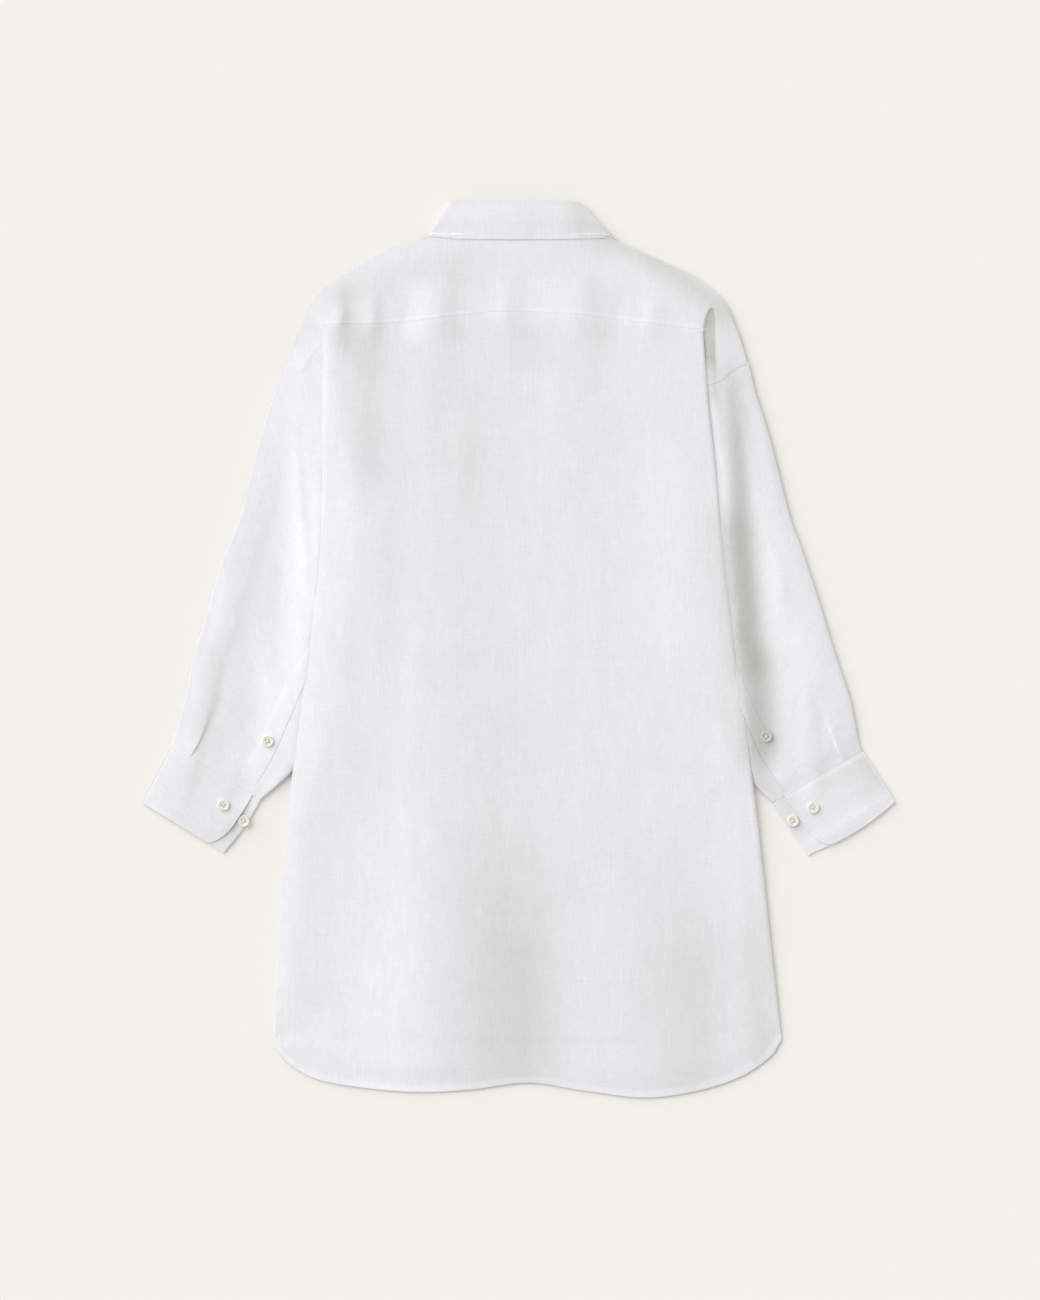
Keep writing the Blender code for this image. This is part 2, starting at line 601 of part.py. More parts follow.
def make_button(name, place, facing_down):
    """A button on the cloth; front buttons face the table."""
    mesh = button_mesh()
    mesh.materials.append(material("button_finish", BUTTON_SHELL, 0.3))
    made = bpy.data.objects.new(name, mesh)
    bpy.data.collections["shirt"].objects.link(made)
    turn = made.modifiers.new("turn", "SCREW")
    turn.steps = 16
    turn.render_steps = 16
    turn.use_merge_vertices = True
    turn.merge_threshold = 0.00001
    made.location = Vector(place) * MM
    if facing_down:
        made.rotation_euler = (math.pi, 0.0, 0.0)


def make_buttons():
    """Six buttons on the sleeves and a row down the front, under the shirt."""
    for name, x, y, lies_on in SLEEVE_BUTTONS:
        if lies_on == "band":
            z = float(sleeve_over(x, y)) + GAP + CLOTH
        else:
            z = CUFF_LEVEL[lies_on] + CUFF_CLOTH / 2
        make_button(name, (x, y, z + GAP), False)
    for k in range(FRONT_BUTTONS):
        y = FRONT_BUTTON_TOP - k * FRONT_BUTTON_PITCH
        make_button(f"button_front_{k + 1}", (0.0, y, BUTTON_OFF_TABLE + BUTTON_THICK), True)


def clear_scene():
    for item in list(bpy.data.objects):
        bpy.data.objects.remove(item, do_unlink=True)


def main():
    clear_scene()
    shirt = bpy.data.collections.new("shirt")
    bpy.context.scene.collection.children.link(shirt)
    make_fronts()
    make_sleeve("sleeve_left", LEFT_SLEEVE)
    make_sleeve("sleeve_right", RIGHT_SLEEVE)
    for name, cuff in CUFFS.items():
        make_cuff(name, cuff)
    make_band("placket_left", LEFT_BAND)
    make_band("placket_right", RIGHT_BAND)
    make_back()
    make_yoke()
    make_collar_piece("collar_stand", STAND_LEVEL, STAND_DEPTH, STAND_INSET, STAND_CLOTH)
    make_collar_piece("collar_leaf", LEAF_LEVEL, 200.0, 0.0, CUFF_CLOTH)
    make_buttons()


main()
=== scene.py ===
"""Looks of a long white linen shirt that lies flat on its front with its back up.

Every cloth piece is a thin shell on the form of its CAD solid, with its creases, seams and
stitches. Lengths are in millimetres; MM turns them into metres when a mesh is made. X runs
across the shirt, Y runs up to the collar, and Z = 0 is the table. Side -1 is at negative X,
the left as the shirt lies, and side 1 is at positive X.
"""

import math
from functools import partial

import bmesh
import bpy
import numpy as np
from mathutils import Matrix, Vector
from mathutils.geometry import delaunay_2d_cdt


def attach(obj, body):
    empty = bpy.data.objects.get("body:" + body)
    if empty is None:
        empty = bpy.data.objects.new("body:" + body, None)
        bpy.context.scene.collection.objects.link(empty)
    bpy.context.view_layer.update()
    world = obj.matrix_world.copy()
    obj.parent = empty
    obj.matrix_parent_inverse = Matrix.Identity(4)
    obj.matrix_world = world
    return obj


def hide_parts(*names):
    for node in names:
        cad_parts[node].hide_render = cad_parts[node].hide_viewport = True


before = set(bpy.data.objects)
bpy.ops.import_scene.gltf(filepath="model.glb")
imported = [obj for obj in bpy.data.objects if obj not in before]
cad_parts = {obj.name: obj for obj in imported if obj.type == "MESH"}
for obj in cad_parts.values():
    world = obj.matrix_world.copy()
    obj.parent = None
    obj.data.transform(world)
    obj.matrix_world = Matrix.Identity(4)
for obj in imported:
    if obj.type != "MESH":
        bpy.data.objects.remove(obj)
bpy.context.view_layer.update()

MM = 0.001
SIDE_NAME = {-1: "left", 1: "right"}
CLOTH = 0.5             # one layer of linen
CUFF_CLOTH = 0.9        # two layers with interlining
LEAF_CLOTH = 0.6
STAND_CLOTH = 0.8
YOKE_CLOTH = 0.14       # thin, as the yoke lies close over the sleeves' tops
BAND_CLOTH = 0.28
SOFT_EDGE = 0.35        # round of the cut edges of cuffs and collar
BEVEL_ANGLE = math.radians(50)
SHARP_ANGLE = math.radians(48)
GRID = 3.4              # spacing of the points on the large panels
HEM = 6.0               # depth of the narrow hem
HEM_RISE = 0.2          # how much the folded hem stands up
STITCH_IN = 1.4         # how far a hem's or a cuff's stitches lie from its turned edge
STITCH_PITCH = 3.0
SEAM_ROWS = (2.0, 7.0)  # how far a lapped seam's two rows of stitches lie from its edge
SINK = 0.17             # how far a sleeve stays below the back and the yoke that cover it
COLLAR_UNDER = 1.8      # how far the fronts rise over the collar's front leaves
FRONT_STEP = 1.3        # how far a sleeve rises over the front below it
BODY_CLEAR = 1.2        # least height of the back's face over the fronts' underside
SLEEVE_CLEAR = 1.4      # least height of a sleeve's face over its own underside
HIDDEN_SLEEVE = 3.4     # level of a sleeve's face well inside the body
SLEEVE_LEAST = 1.35     # the same as SLEEVE_CLEAR, beside the sleeve's edges and its pleat
CUFF_EDGE = 2.6         # height of a sleeve's outer edge at its cuff
GAP = 0.15              # between a sleeve's lower layer and what it lies on

# ---------------------------------------------------------------- sizes shared with the CAD

EDGE = {-1: [(-243, -390), (-241.5, -330), (-233.5, -200), (-224.5, -112), (-215.5, -36), (-206.5, 30),
             (-198.5, 110), (-196.5, 250), (-195.5, 324)],
        1: [(263, -390), (255, -318), (240, -182), (228.5, -92), (217, -14), (205.5, 86), (196.5, 182),
            (189, 252), (184.5, 318)]}
BACK_HEM = [(-243, -390), (-240, -402.5), (-218, -421.8), (-183, -434), (-110, -442.2), (-50, -440.2),
            (10, -433.2), (64, -440.8), (126, -448), (180, -441), (222, -427), (251, -407.6), (263, -390)]
FRONT_HEM = [(-238, -345), (-228, -368), (-180, -384), (-60, -388), (80, -389), (190, -384), (245, -368),
             (255, -345)]
YOKE_SEAM = [(-195.5, 325), (-130, 325.5), (-55, 334), (-13, 337.5), (60, 334.5), (105, 328.5),
             (184.5, 319)]
SHOULDER = {-1: [(-97, 408.6), (-134, 397.5), (-180, 371), (-205, 349), (-222, 314), (-236.5, 271)],
            1: [(99, 407.6), (146, 387), (178, 371), (205, 348), (218.5, 319), (229.5, 285)]}
ARMHOLE = {-1: [(-236.5, 271), (-221, 274), (-208, 291), (-197.5, 304)],
           1: [(229.5, 285), (217.5, 280.5), (203, 268.5), (188.6, 263)]}
ARMHOLE_HIDDEN = {-1: [(-172, 314), (-128, 299)], 1: [(160, 250), (118, 231)]}
NECK = [(99, 407.6), (91, 411.8), (80, 415), (57, 415), (0, 415), (-57, 415), (-78, 415), (-89, 412.2),
        (-97, 408.6)]

# Sections across a sleeve: outer x, outer y, inner x, inner y, share of the armhole's curve.
SLEEVE = {-1: [(-236.5, 271, -128, 299, 1), (-243, 256, -120, 262, 0.5), (-255.5, 219.5, -113, 222, 0.15),
               (-268.5, 171, -117, 172, 0), (-278.5, 129.5, -125, 122, 0), (-295.5, 88.5, -137, 74, 0),
               (-305, 57, -148, 36, 0), (-313, 27.5, -160, -2, 0), (-324.5, -8.5, -178, -48, 0),
               (-331.5, -44.5, -199, -92, 0), (-341, -80.5, -225.5, -121, 0),
               (-346.8, -96.5, -258.2, -150, 0)],
          1: [(229.5, 285, 118, 231, 1), (236.5, 257.5, 114, 206, 0.5), (246.5, 227.5, 112, 184, 0.15),
              (256.5, 191.5, 114, 156, 0), (271.5, 132.5, 122, 106, 0), (282, 103.5, 129, 78, 0),
              (297.5, 57.5, 141, 36, 0), (315.5, -1, 158, -18, 0), (330.5, -46.5, 182, -70, 0),
              (339.5, -88, 232.5, -131, 0), (344.5, -102.5, 254, -152.4, 0)]}

# A cuff's corners from its outer end at the seam round to its inner one, how far its lower
# edge bellies and its inner edge bows, where its overlap ends and how far that end lifts, and
# its outer fold as places across the cuff and shares of its height, which leans in below.
CUFF = {
    -1: {"corners": [(-346.5, -96), (-376.5, -152.5), (-294.5, -203.5), (-257.2, -150)],
         "belly": 0.0, "bow": 2.2, "overlap_end": 0.905, "lift": 2.0,
         "fold": [(0.04, 1), (0.012, 1), (0.006, 0.995), (0.008, 0.82), (0.012, 0.58), (0.019, 0.33),
                  (0.028, 0.14), (0.045, 0)]},
    1: {"corners": [(344.5, -102), (376.5, -151.5), (289.5, -206), (253.8, -152.6)],
        "belly": 5.5, "bow": 0.6, "overlap_end": 0.87, "lift": 0.0,
        "fold": [(0.04, 0.98), (0.02, 0.92), (0.011, 0.82), (0.006, 0.66), (0.008, 0.5), (0.013, 0.3),
                 (0.024, 0.12), (0.045, 0)]},
}
OVERLAP_CORNER = 0.135  # round of the overlap's corner across the cuff, and where it starts down it
CORNER_START = 0.55
CUFF_BOTTOM = 0.5
CUFF_UNDERLAP = 2.1
CUFF_OVERLAP = 3.5

# The band of each sleeve's opening: its left and its right edge.
BAND = {-1: [[(-209.5, 10), (-231, -22), (-249, -57.5), (-262, -86.5), (-284.5, -126.5), (-287.7, -131.5)],
             [(-196, -4), (-214, -36), (-229.5, -70.5), (-246.5, -108.5), (-264.5, -137.5),
              (-267.7, -143.5)]],
        1: [[(190, 2), (211, -36), (229, -76), (242, -106), (260.5, -134.5), (268.2, -147.4)],
            [(205.5, 12), (223.5, -30), (240, -68), (256, -97), (280, -125.5), (288.4, -136.2)]]}

BAND_ROW = 2.0          # how far its stitches lie from its edges

# Sleeve buttons: node, x, y, what it lies on, turn of its holes in degrees.
SLEEVE_BUTTONS = [("button_placket_left", -250.3, -91.6, "band", 20),
                  ("button_cuff_left", -294.4, -155.2, "overlap", 50),
                  ("button_underlap_left", -274.4, -171.4, "underlap", 10),
                  ("button_placket_right", 247.4, -86.8, "band", 35),
                  ("button_cuff_right", 294.3, -157.8, "overlap", 70),
                  ("button_underlap_right", 274.3, -171.3, "underlap", 15)]

# Places round the neck: x and y on the fold, then on the free edge.
COLLAR_BELOW = [(4, 345, 50, 292), (22, 378, 70, 345), (42, 416, 83, 385)]
COLLAR_SIDE = {-1: (68, 445.2, 88.6, 412.6), 1: (60.5, 446.6, 93.6, 410.8)}
COLLAR_ABOVE = [(40, 447.6, 62, 410), (20, 448, 31, 409.4), (0, 448, 0, 409.2)]
# The fold at each side of the neck: share of its height, how far out it stands.
COLLAR_TURN = [(0, -1.6), (0.06, -1.3), (0.2, -0.8), (0.4, -0.2), (0.6, 0.2), (0.8, 0.55), (0.93, 0.8),
               (0.995, 0.9), (1, 0)]
LEAF_LEVEL = (0.6, 7.4)
LEAF_DEPTH = math.inf   # no limit: the leaf reaches its whole depth
LEAF_BACK = 38.0        # the leaf's depth at the middle of the neck
LEAF_ROWS = (STITCH_IN, 4.5)
STAND_LEVEL = (2.4, 4.7)
STAND_DEPTH = 28.0
STAND_INSET = 3.0

FRONT_OVERLAP = 15.0
FRONT_BUTTONS = 7
FRONT_BUTTON_TOP = 280.0
FRONT_BUTTON_PITCH = 88.0
FRONT_BUTTON_LEVEL = 2.45
BUTTON_RIDGE = 2.9      # how far the fronts rise over their row of buttons
RIDGE_HALF = 17.0
LAP_LIFT = 1.7
BUTTON_ACROSS = 11.6
BUTTON_THICK = 2.2
BUTTON_RIM = 40         # points round a button
BUTTON_FOOT = (0.93, 0.12)      # under its rim: share of its radius, and height
BUTTON_BASE = 0.6       # share of its radius that lies flat
STRAND_SINK = 0.8       # how deep a strand starts in its hole, and how far it arches from there
STRAND_ARCH = 1.2
THREAD_RADIUS = 0.2
HOLES = [(1.35, 1.35), (-1.35, 1.35), (-1.35, -1.35), (1.35, -1.35)]

# ---------------------------------------------------------------- creases of the cloth

# Each fold runs down the shirt: start x, start y, end x, end y, half width on its left,
# half width on its right, rise.
BODY_FOLDS = [
    (-150, 322, -132, 120, 26, 14, -0.9), (-100, 322, -92, 170, 18, 20, 0.7),
    (-62, 322, -66, 210, 14, 12, -0.7), (42, 320, 34, 120, 16, 18, 0.6), (86, 322, 84, 240, 14, 16, -0.9),
    (-22, 90, -34, -60, 30, 30, -0.4), (120, 40, 130, -140, 30, 20, 0.4), (-70, 40, -84, -150, 30, 24, 0.5),
    (-92, -110, -98, -520, 66, 44, 3), (24, -230, 24, -560, 60, 34, -1), (100, -240, 96, -480, 36, 40, 0.7),
    (205, -230, 215, -420, 60, 40, -0.5),
]
SLEEVE_FOLDS = {-1: [(-222, 222, -207, 36, 7, 3, 1.1), (-238, 262, -250, 120, 16, 20, 0.5),
                     (-225, 285, -232, 235, 5, 6, -0.5)],
                1: [(240, 262, 262, 150, 10, 10, 0.5), (318, -30, 326, -100, 8, 8, -0.4)]}
LEAF_FOLDS = [(-3, 470, -4, 400, 30, 16, 0.5), (44, 470, 50, 396, 14, 12, 0.4)]

# Painted light and shade on the cloth, standing in for much of its broad shading: lines as for
# the folds, with the change of brightness in percent. Negative ones are painted shade, such as the
# dark band down the right sleeve, the hollow at the middle of the hem and the shade beside the
# folds; positive ones are painted light on the lighter stripes.
PAINTED_LIGHT_AND_SHADE = [
    (-38, 330, -40, -560, 30, 24, -2), (-4, -130, 6, -700, 44, 38, -13), (40, 380, 40, -100, 44, 40, 1),
    (-150, 330, -150, -560, 44, 44, 2), (-144, 240, -150, -260, 22, 26, 1.5),
    (-112, 380, -112, -280, 14, 16, 3), (-128, -150, -128, -640, 54, 58, 6),
    (-154, 380, -146, 130, 20, 18, -6), (-56, 350, -50, 100, 14, 14, -4.5), (92, 345, 88, 170, 14, 14, -3),
    (146, 240, 150, -60, 24, 24, 3), (172, -220, 180, -640, 38, 30, -9), (232, -205, 252, -600, 16, 18, -9),
    (186, 300, 206, 150, 1.9, 1.9, 9), (198, 235, 236, -190, 1.6, 1.6, 7.5),
    (211, 300, 224, 120, 9.5, 11, -15.5), (216, 165, 239, -40, 24, 14.5, -25),
    (242.5, 15, 250, -130, 27, 15, -23.5), (226, -60, 246, -190, 9, 10, -7),
    (268, 220, 316, -180, 16, 16, 5), (-210, 300, -222, -160, 14, 18, 5),
    (-232, 320, -246, -20, 12, 14, 3.5), (-244, 60, -276, -220, 14, 18, 7),
    (-276, 70, -336, -180, 7, 7, -10), (62, 439, 253, 308, 15, 10, -15), (0, 402, -210, 350, 16, 18, -6),
    (-28, 520, -28, 370, 30, 30, 3.5), (80, 480, 86, 380, 20, 20, -5), (-176, 376, -170, 285, 10, 9, -12),
    (-104, 380, -104, 298, 14, 12, 8), (-62, 388, -64, 298, 10, 10, -4.5), (24, 378, 24, 318, 13, 13, 5),
    (10, 330, 10, 270, 26, 26, -5), (-145, 330, -140, 262, 22, 20, -4), (-20, 280, -16, 140, 34, 22, -2),
    (80, 376, 80, 298, 9, 10, -5), (-400, -60, -220, -172, 24, 24, 3), (-350, -50, -404, -236, 12, 24, 9),
    (-236, -20, -256, -120, 10, 10, 5), (-296, -60, -312, -150, 12, 14, -4),
    (440, -62, 290, -140, 10, 14, -8), (410, -128, 262, -210, 10, 14, 8), (-254, -60, -296, -128, 9, 9, 3),
    (276, 60, 286, -170, 10, 9, 7.5), (294, -10, 308, -170, 9, 9, -7), (254, -126, 288, -198, 10, 9, -8),
    (-218.5, 273.5, -197.5, 304.5, 0.9, 0.9, -12), (196.8, 350, 197, 262, 1.5, 1.5, -6),
    (192, 318, 196, 236, 4.5, 4.5, -14), (198, 300, 206, 190, 5, 5, -7), (-152, 230, -152, -130, 22, 22, 4),
    (-200, 180, -206, 10, 9, 9, 7), (-222, 330, -234, -140, 10, 12, 4), (-284, 50, -290, -60, 9, 9, 5),
    (-318, 30, -330, -70, 8, 8, 5), (-274, -110, -292, -200, 11, 10, -9), (10, -270, 0, -420, 50, 46, -3),
    (-205, -345, -200, -470, 26, 26, 4.5), (0, 60, 4, -170, 16, 16, -3), (268, -145, 372, -85, 1.6, 1.6, -8),
    (210, -120, 222, -300, 22, 22, 3.5), (-22, -40, -22, -220, 9, 9, -3.5), (-180, 0, -180, -170, 9, 9, 4.5),
    (350, -80, 352, -160, 12, 12, -6), (-216, 150, -225, -50, 9, 9, 3.5), (-242, 110, -247, -48, 9, 9, -6),
    (-296, 92, -303, -8, 9, 9, 7), (-195, 330, -197, 110, 4, 4, 4), (-262, -42, -268, -112, 8, 8, -5),
    (362, -86, 364, -152, 9, 9, -6), (-180, -435, -44, -438, 9, 9, 6), (120, 405, 190, 363, 8, 8, -5),
    (60, 462, 62, 398, 8, 8, -7), (130, -160, 130, -390, 46, 46, -2), (8, -212, 8, -292, 15, 15, 3.5),
    (-146, -210, -146, -330, 20, 20, -2.5), (-246, -122, -238, -150, 7, 7, 12),
    (236, -140, 243, -196, 7, 7, 9), (-221, 305, -219, 276, 7, 7, 6), (-370, -150, -345, -170, 8, 8, 5.5),
    (222, 30, 226, 0, 7, 7, -6), (196, -60, 206, -140, 12, 10, 4),
]

# Small puckers where the yoke is eased on to the back: x, y, half width, reach above and below,
# rise.
PUCKERS = [(-178, 330, 7, 18, 12, 1.5), (-146, 328, 7, 22, 14, 1.9), (-82, 334, 15, 30, 26, 2.3),
           (-12, 338, 13, 30, 24, 1.9), (60, 336, 16, 34, 30, 2.1), (134, 328, 12, 26, 20, 1.8),
           (-112, 328, 8, 16, 12, -0.6), (100, 330, 7, 22, 26, -0.8)]

SLEEVE_SEED = {-1: 21, 1: 22}   # of each sleeve's ripple

# The pleat of each sleeve: share of the width at which it lies, length above the cuff,
# depth of its step.
PLEAT = {-1: (0.208, 130, 1.4), 1: (0.207, 82, 1.3)}

# Width over which the back rises from its left and right folds: y, left, right.
SIDE_REACH = [(-390, 18, 8), (-300, 20, 6), (-165, 24, 4), (-110, 34, 3), (0, 42, 3), (110, 42, 3),
              (200, 36, 3), (250, 22, 3), (290, 12, 3), (324, 9, 3)]
# Heights of the back: y, left fold, left crest, middle, right crest, right fold.
BODY_LEVEL = [(-445, 2, 2.9, 2.8, 2.8, 2.4), (-400, 3, 4.6, 4, 3.6, 3.1), (-383, 3.3, 5, 4.5, 3.9, 3.4),
              (-330, 4, 6.6, 5.9, 4.4, 3.8), (-250, 4.8, 7.5, 6.4, 5.2, 4.4),
              (-180, 5.6, 8.4, 6.8, 6.4, 5.5), (-145, 5.9, 9.4, 6.9, 8, 7.2), (-110, 6.3, 10.4, 7, 9.2, 8.6),
              (0, 8.2, 12, 7.2, 10.7, 10.1), (110, 8.5, 12.8, 7.2, 10.8, 10), (220, 8, 12, 7.2, 10.3, 9.2),
              (300, 7, 9, 7, 9.2, 8.4), (350, 6.6, 7.4, 6.8, 8, 7.4)]
CREST_IN = (30.0, 6.0)          # how far in the left and right crests lie,
CREST_REACH = (72.0, 110.0)     # and over how much more they fade into the middle
# Heights of the sleeves by their distance outside the body's fold: y, at the fold,
# place and height of a ridge, of a valley beside it, and of the level beyond.
SLEEVE_LEVEL = {-1: [(-180, 4, 3, 3.8, 34, 3.2, 54, 3.4), (-110, 5.8, 3, 5.6, 44, 3.2, 64, 3.8),
                     (-60, 6.8, 3, 6.6, 54, 3.1, 76, 4.2), (0, 7.9, 3, 7.7, 60, 3, 84, 4.4),
                     (60, 8.1, 3, 7.9, 56, 3.2, 82, 4.6), (130, 8.1, 3, 7.9, 46, 3.6, 70, 4.8),
                     (240, 7.3, 3, 7.1, 36, 4.6, 60, 5), (290, 6.3, 3, 6.3, 25, 5.2, 45, 5.2),
                     (350, 6, 3, 6, 25, 5.6, 45, 5.6)],
                1: [(-180, 4.4, 1, 4.2, 18, 3, 36, 4.2), (-110, 8.2, 1, 8, 22, 3, 44, 5),
                    (-60, 9.3, 1, 9.1, 26, 3, 50, 6.4), (13, 10, 1, 9.8, 29, 3, 56, 7.2),
                    (107, 10.1, 5, 9.7, 32, 3, 60, 7.4), (160, 9, 10, 9.2, 33, 3.4, 60, 7),
                    (215, 7.8, 14, 8.2, 34, 4.4, 58, 6.4), (250, 7.2, 14, 7.5, 34, 5.4, 52, 6.4),
                    (285, 6.8, 14, 7.1, 34, 6.2, 50, 6.2), (350, 6.8, 14, 7, 34, 6.2, 50, 6)]}
# Edges of each sleeve: the outer one's height and how far in the cloth rises from it, and the
# inner one's height.
SLEEVE_EDGE = {-1: (3.2, 30.0, 2.8), 1: (4.5, 24.0, 2.4)}
# Rounds of edges, as fall and width: of one that faces the window or none, of one that faces
# away from it, and of each sleeve's outer and inner edge.
CRISP_ROUND = (0.03, 0.5)
FAR_ROUND = (0.7, 3.6)
EDGE_ROUND = {-1: (CRISP_ROUND, (0.8, 2.8)), 1: ((1.0, 4.5), (0.2, 0.8))}
# Steps of a turned edge: share of its reach inwards, share of its depth.
FOLD_TURN = [(0.1, 0.1), (0.32, 0.34), (0.6, 0.62), (0.9, 0.86), (1.25, 1), (3, 1.02)]
NECK_HEIGHT = 6.5
NECK_START = 352.0
NECK_END = 398.0
NECK_FOLD = 4.4                 # height of the shoulders' folds up at the neck
NECK_REACH = 42.0               # how far in the yoke rises from them there
SEAM_END = (3.45, 2.5)          # where a sleeve meets its cuff's overlap, and its underlap

# Outline of the sunk pleat beside the back's right edge, the last two points inside the yoke's side.
CAVITY = [(184, 318), (185, 327), (187, 335), (190.2, 340.5), (193.4, 342.8), (196.6, 339.6), (197.8, 332),
          (197.6, 318), (197.4, 300), (197.8, 283), (198.6, 262), (199, 230), (180, 230)]
CAVITY_FLOOR = 6.4
# Painted shade in the sunk pleat beside the back's right edge.
CAVITY_PAINTED_SHADE = -0.26
# Painted shade and light on the sides turned under towards the table: darker on the window's side and lighter
# on the far one.
UNDERSIDE_PAINTED_SHADE = -0.06              # sides turned towards the table
PAINTED_SHADE_SHIFT = -0.24             # and how much that changes from the far side to the window's,
WINDOW_LEAN = (-0.74, 0.5)      # along this direction
WINDOW_FADE = 120.0
# Painted highlight along the hem's fold.
HEM_PAINTED_HIGHLIGHT = 0.05

# Points across a sleeve, from its edges and from its pleat.
EDGE_STEPS = [0, 0.15, 0.5, 1.2, 2.4, 4, 6, 8.5, 11.5]
PLEAT_STEPS = [-5, -2.6, -1.3, -0.6, -0.25, 0, 0.35, 0.9, 1.8, 3.4, 6]

# A button's face from its centre out: share of its radius, share of its thickness.
BUTTON_FACE = [(0, 0.82), (0.5, 0.82), (0.6, 0.83), (0.67, 0.86), (0.72, 0.94), (0.8, 0.98), (0.88, 1),
               (0.95, 0.97), (0.985, 0.92), (1, 0.82)]

# A stitch's points: along it, to its side, up from the cloth; a tip, two rings of four and a tip.
STITCH_RING = [(0.21, -0.06), (0.105, 0.11), (-0.105, 0.11), (-0.21, -0.06)]
STITCH_POINTS = np.array([(-1.1, 0, -0.08), *[(along, *p) for along in (-0.616, 0.616) for p in STITCH_RING],
                          (1.1, 0, -0.08)])


# ---------------------------------------------------------------- lines and curves

def smooth(share):
    """Ease from 0 to 1 as share goes from 0 to 1."""
    t = np.clip(share, 0.0, 1.0)
    return t * t * (3.0 - 2.0 * t)


def rising(value, start, over):
    """Ease from 0 to 1 as value rises from start."""
    return smooth((value - start) / over)


def falling(value, start, over):
    """Ease from 0 to 1 as value falls from start."""
    return smooth((start - value) / over)


def blend(start, end, share):
    """Ease from start to end as share goes from 0 to 1."""
    return start + (end - start) * smooth(share)


def roll(distance, width):
    """Quarter round: 0 at an edge, 1 at width in from it."""
    t = 1.0 - np.clip(distance / width, 0.0, 1.0)
    return np.sqrt(1.0 - t * t)


def unit(vectors):
    return vectors / np.linalg.norm(vectors, axis=1)[:, None]


def left_of(along):
    """Unit vectors to the left of flat directions."""
    along = unit(along)
    return np.column_stack([-along[:, 1], along[:, 0]])


def curve_through(points, step, lead=2):
    """Sample a soft curve through the points, about every step along its first lead columns."""
    pts = np.array(points, dtype=float)
    ends = np.vstack([2 * pts[0] - pts[1], pts, 2 * pts[-1] - pts[-2]])
    runs = []
    for before, start, end, after in zip(ends, ends[1:], ends[2:], ends[3:]):
        parts = max(1, round(np.linalg.norm((end - start)[:lead]) / step))
        t = (np.arange(parts) / parts)[:, None]
        runs.append(0.5 * (2 * start + (end - before) * t
                           + (2 * before - 5 * start + 4 * end - after) * t ** 2
                           + (3 * start - before - 3 * end + after) * t ** 3))
    return np.vstack(runs + [pts[-1:]])


def distance_to(line, x, y):
    """Shortest distance from the points to a line of straight runs."""
    best = np.full(np.shape(x), 1e9)
    for (x0, y0), (x1, y1) in zip(line, line[1:]):
        dx, dy = x1 - x0, y1 - y0
        t = np.clip(((x - x0) * dx + (y - y0) * dy) / (dx * dx + dy * dy), 0, 1)
        best = np.minimum(best, np.hypot(x - x0 - t * dx, y - y0 - t * dy))
    return best


def distance_round(outline, x, y):
    return distance_to(np.vstack([outline, outline[:1]]), x, y)


def near(x, y, step, *lines):
    """Shortest distance from the points to any of the soft curves through the lines."""
    return np.min([distance_to(curve_through(line, step), x, y) for line in lines], axis=0)


def offset_line(line, offset):
    """A line moved to its left by offset."""
    return line + left_of(np.gradient(line, axis=0)) * offset


def resample(line, pitch):
    """Points at an even pitch along a line, with the direction at each."""
    steps = np.linalg.norm(np.diff(line, axis=0), axis=1)
    total = np.concatenate([[0.0], np.cumsum(steps)])
    at = np.arange(0.5 * pitch, total[-1], pitch)
    places, ahead, behind = [np.column_stack([np.interp(at + shift, total, values) for values in line.T])
                             for shift in (0.0, 0.5, -0.5)]
    return places, unit(ahead - behind)


def columns(table, y):
    """Read every column of a table whose first column is a rising y."""
    first, *others = np.array(table).T
    return [np.interp(y, first, values) for values in others]


def edge_x(edge, y):
    return np.interp(y, [p[1] for p in edge], [p[0] for p in edge])


def edge_y(edge, x):
    return np.interp(x, [p[0] for p in edge], [p[1] for p in edge])


def outside_body(x, y):
    """How far a point is outside the body's side edges; negative inside."""
    return np.maximum(edge_x(EDGE[-1], y) - x, x - edge_x(EDGE[1], y))


# ---------------------------------------------------------------- folds and ripples

def fold_rise(folds, x, y):
    """Sum of soft ridges and troughs that fade at both ends."""
    total = np.zeros(np.shape(x))
    for x0, y0, x1, y1, half_left, half_right, rise in folds:
        length = math.hypot(x1 - x0, y1 - y0)
        ux, uy = (x1 - x0) / length, (y1 - y0) / length
        along = (x - x0) * ux + (y - y0) * uy
        across = (x - x0) * uy - (y - y0) * ux
        half = np.where(across > 0, half_left, half_right)
        fade = smooth(along / length * 4) * smooth((length - along) / length * 4)
        total += rise * fade * np.exp(-(across / half) ** 2)
    return total


def unevenness(x, y, seed, across, along, rise, waves=14):
    """Soft irregular ripple: waves of about the given lengths across and along the shirt."""
    rng = np.random.default_rng(seed)
    total = np.zeros(np.shape(x))
    for _ in range(waves):
        kx = 2 * math.pi / across * rng.uniform(0.55, 1.7) * rng.choice([-1, 1])
        ky = 2 * math.pi / along * rng.uniform(0.4, 1.7)
        total += np.sin(kx * x + ky * y + rng.uniform(0, 2 * math.pi))
    return rise * total / math.sqrt(waves / 2)


def pucker_rise(x, y):
    total = np.zeros(np.shape(x))
    for px, py, half, above, below, rise in PUCKERS:
        reach = np.where(y > py, above, below)
        total += rise * np.exp(-((x - px) / half) ** 2 - ((y - py) / reach) ** 2)
    return total


def stitch_groove(distance, at):
    """1 along a row of stitches, 0 beside it."""
    return np.exp(-((distance - at) / 0.6) ** 2)


def hem_band(distance):
    """Cross-section of a narrow stitched hem: raised, with a groove at its stitches."""
    return smooth((HEM + 0.6 - distance) / 1.2) - 0.8 * stitch_groove(distance, HEM - STITCH_IN)


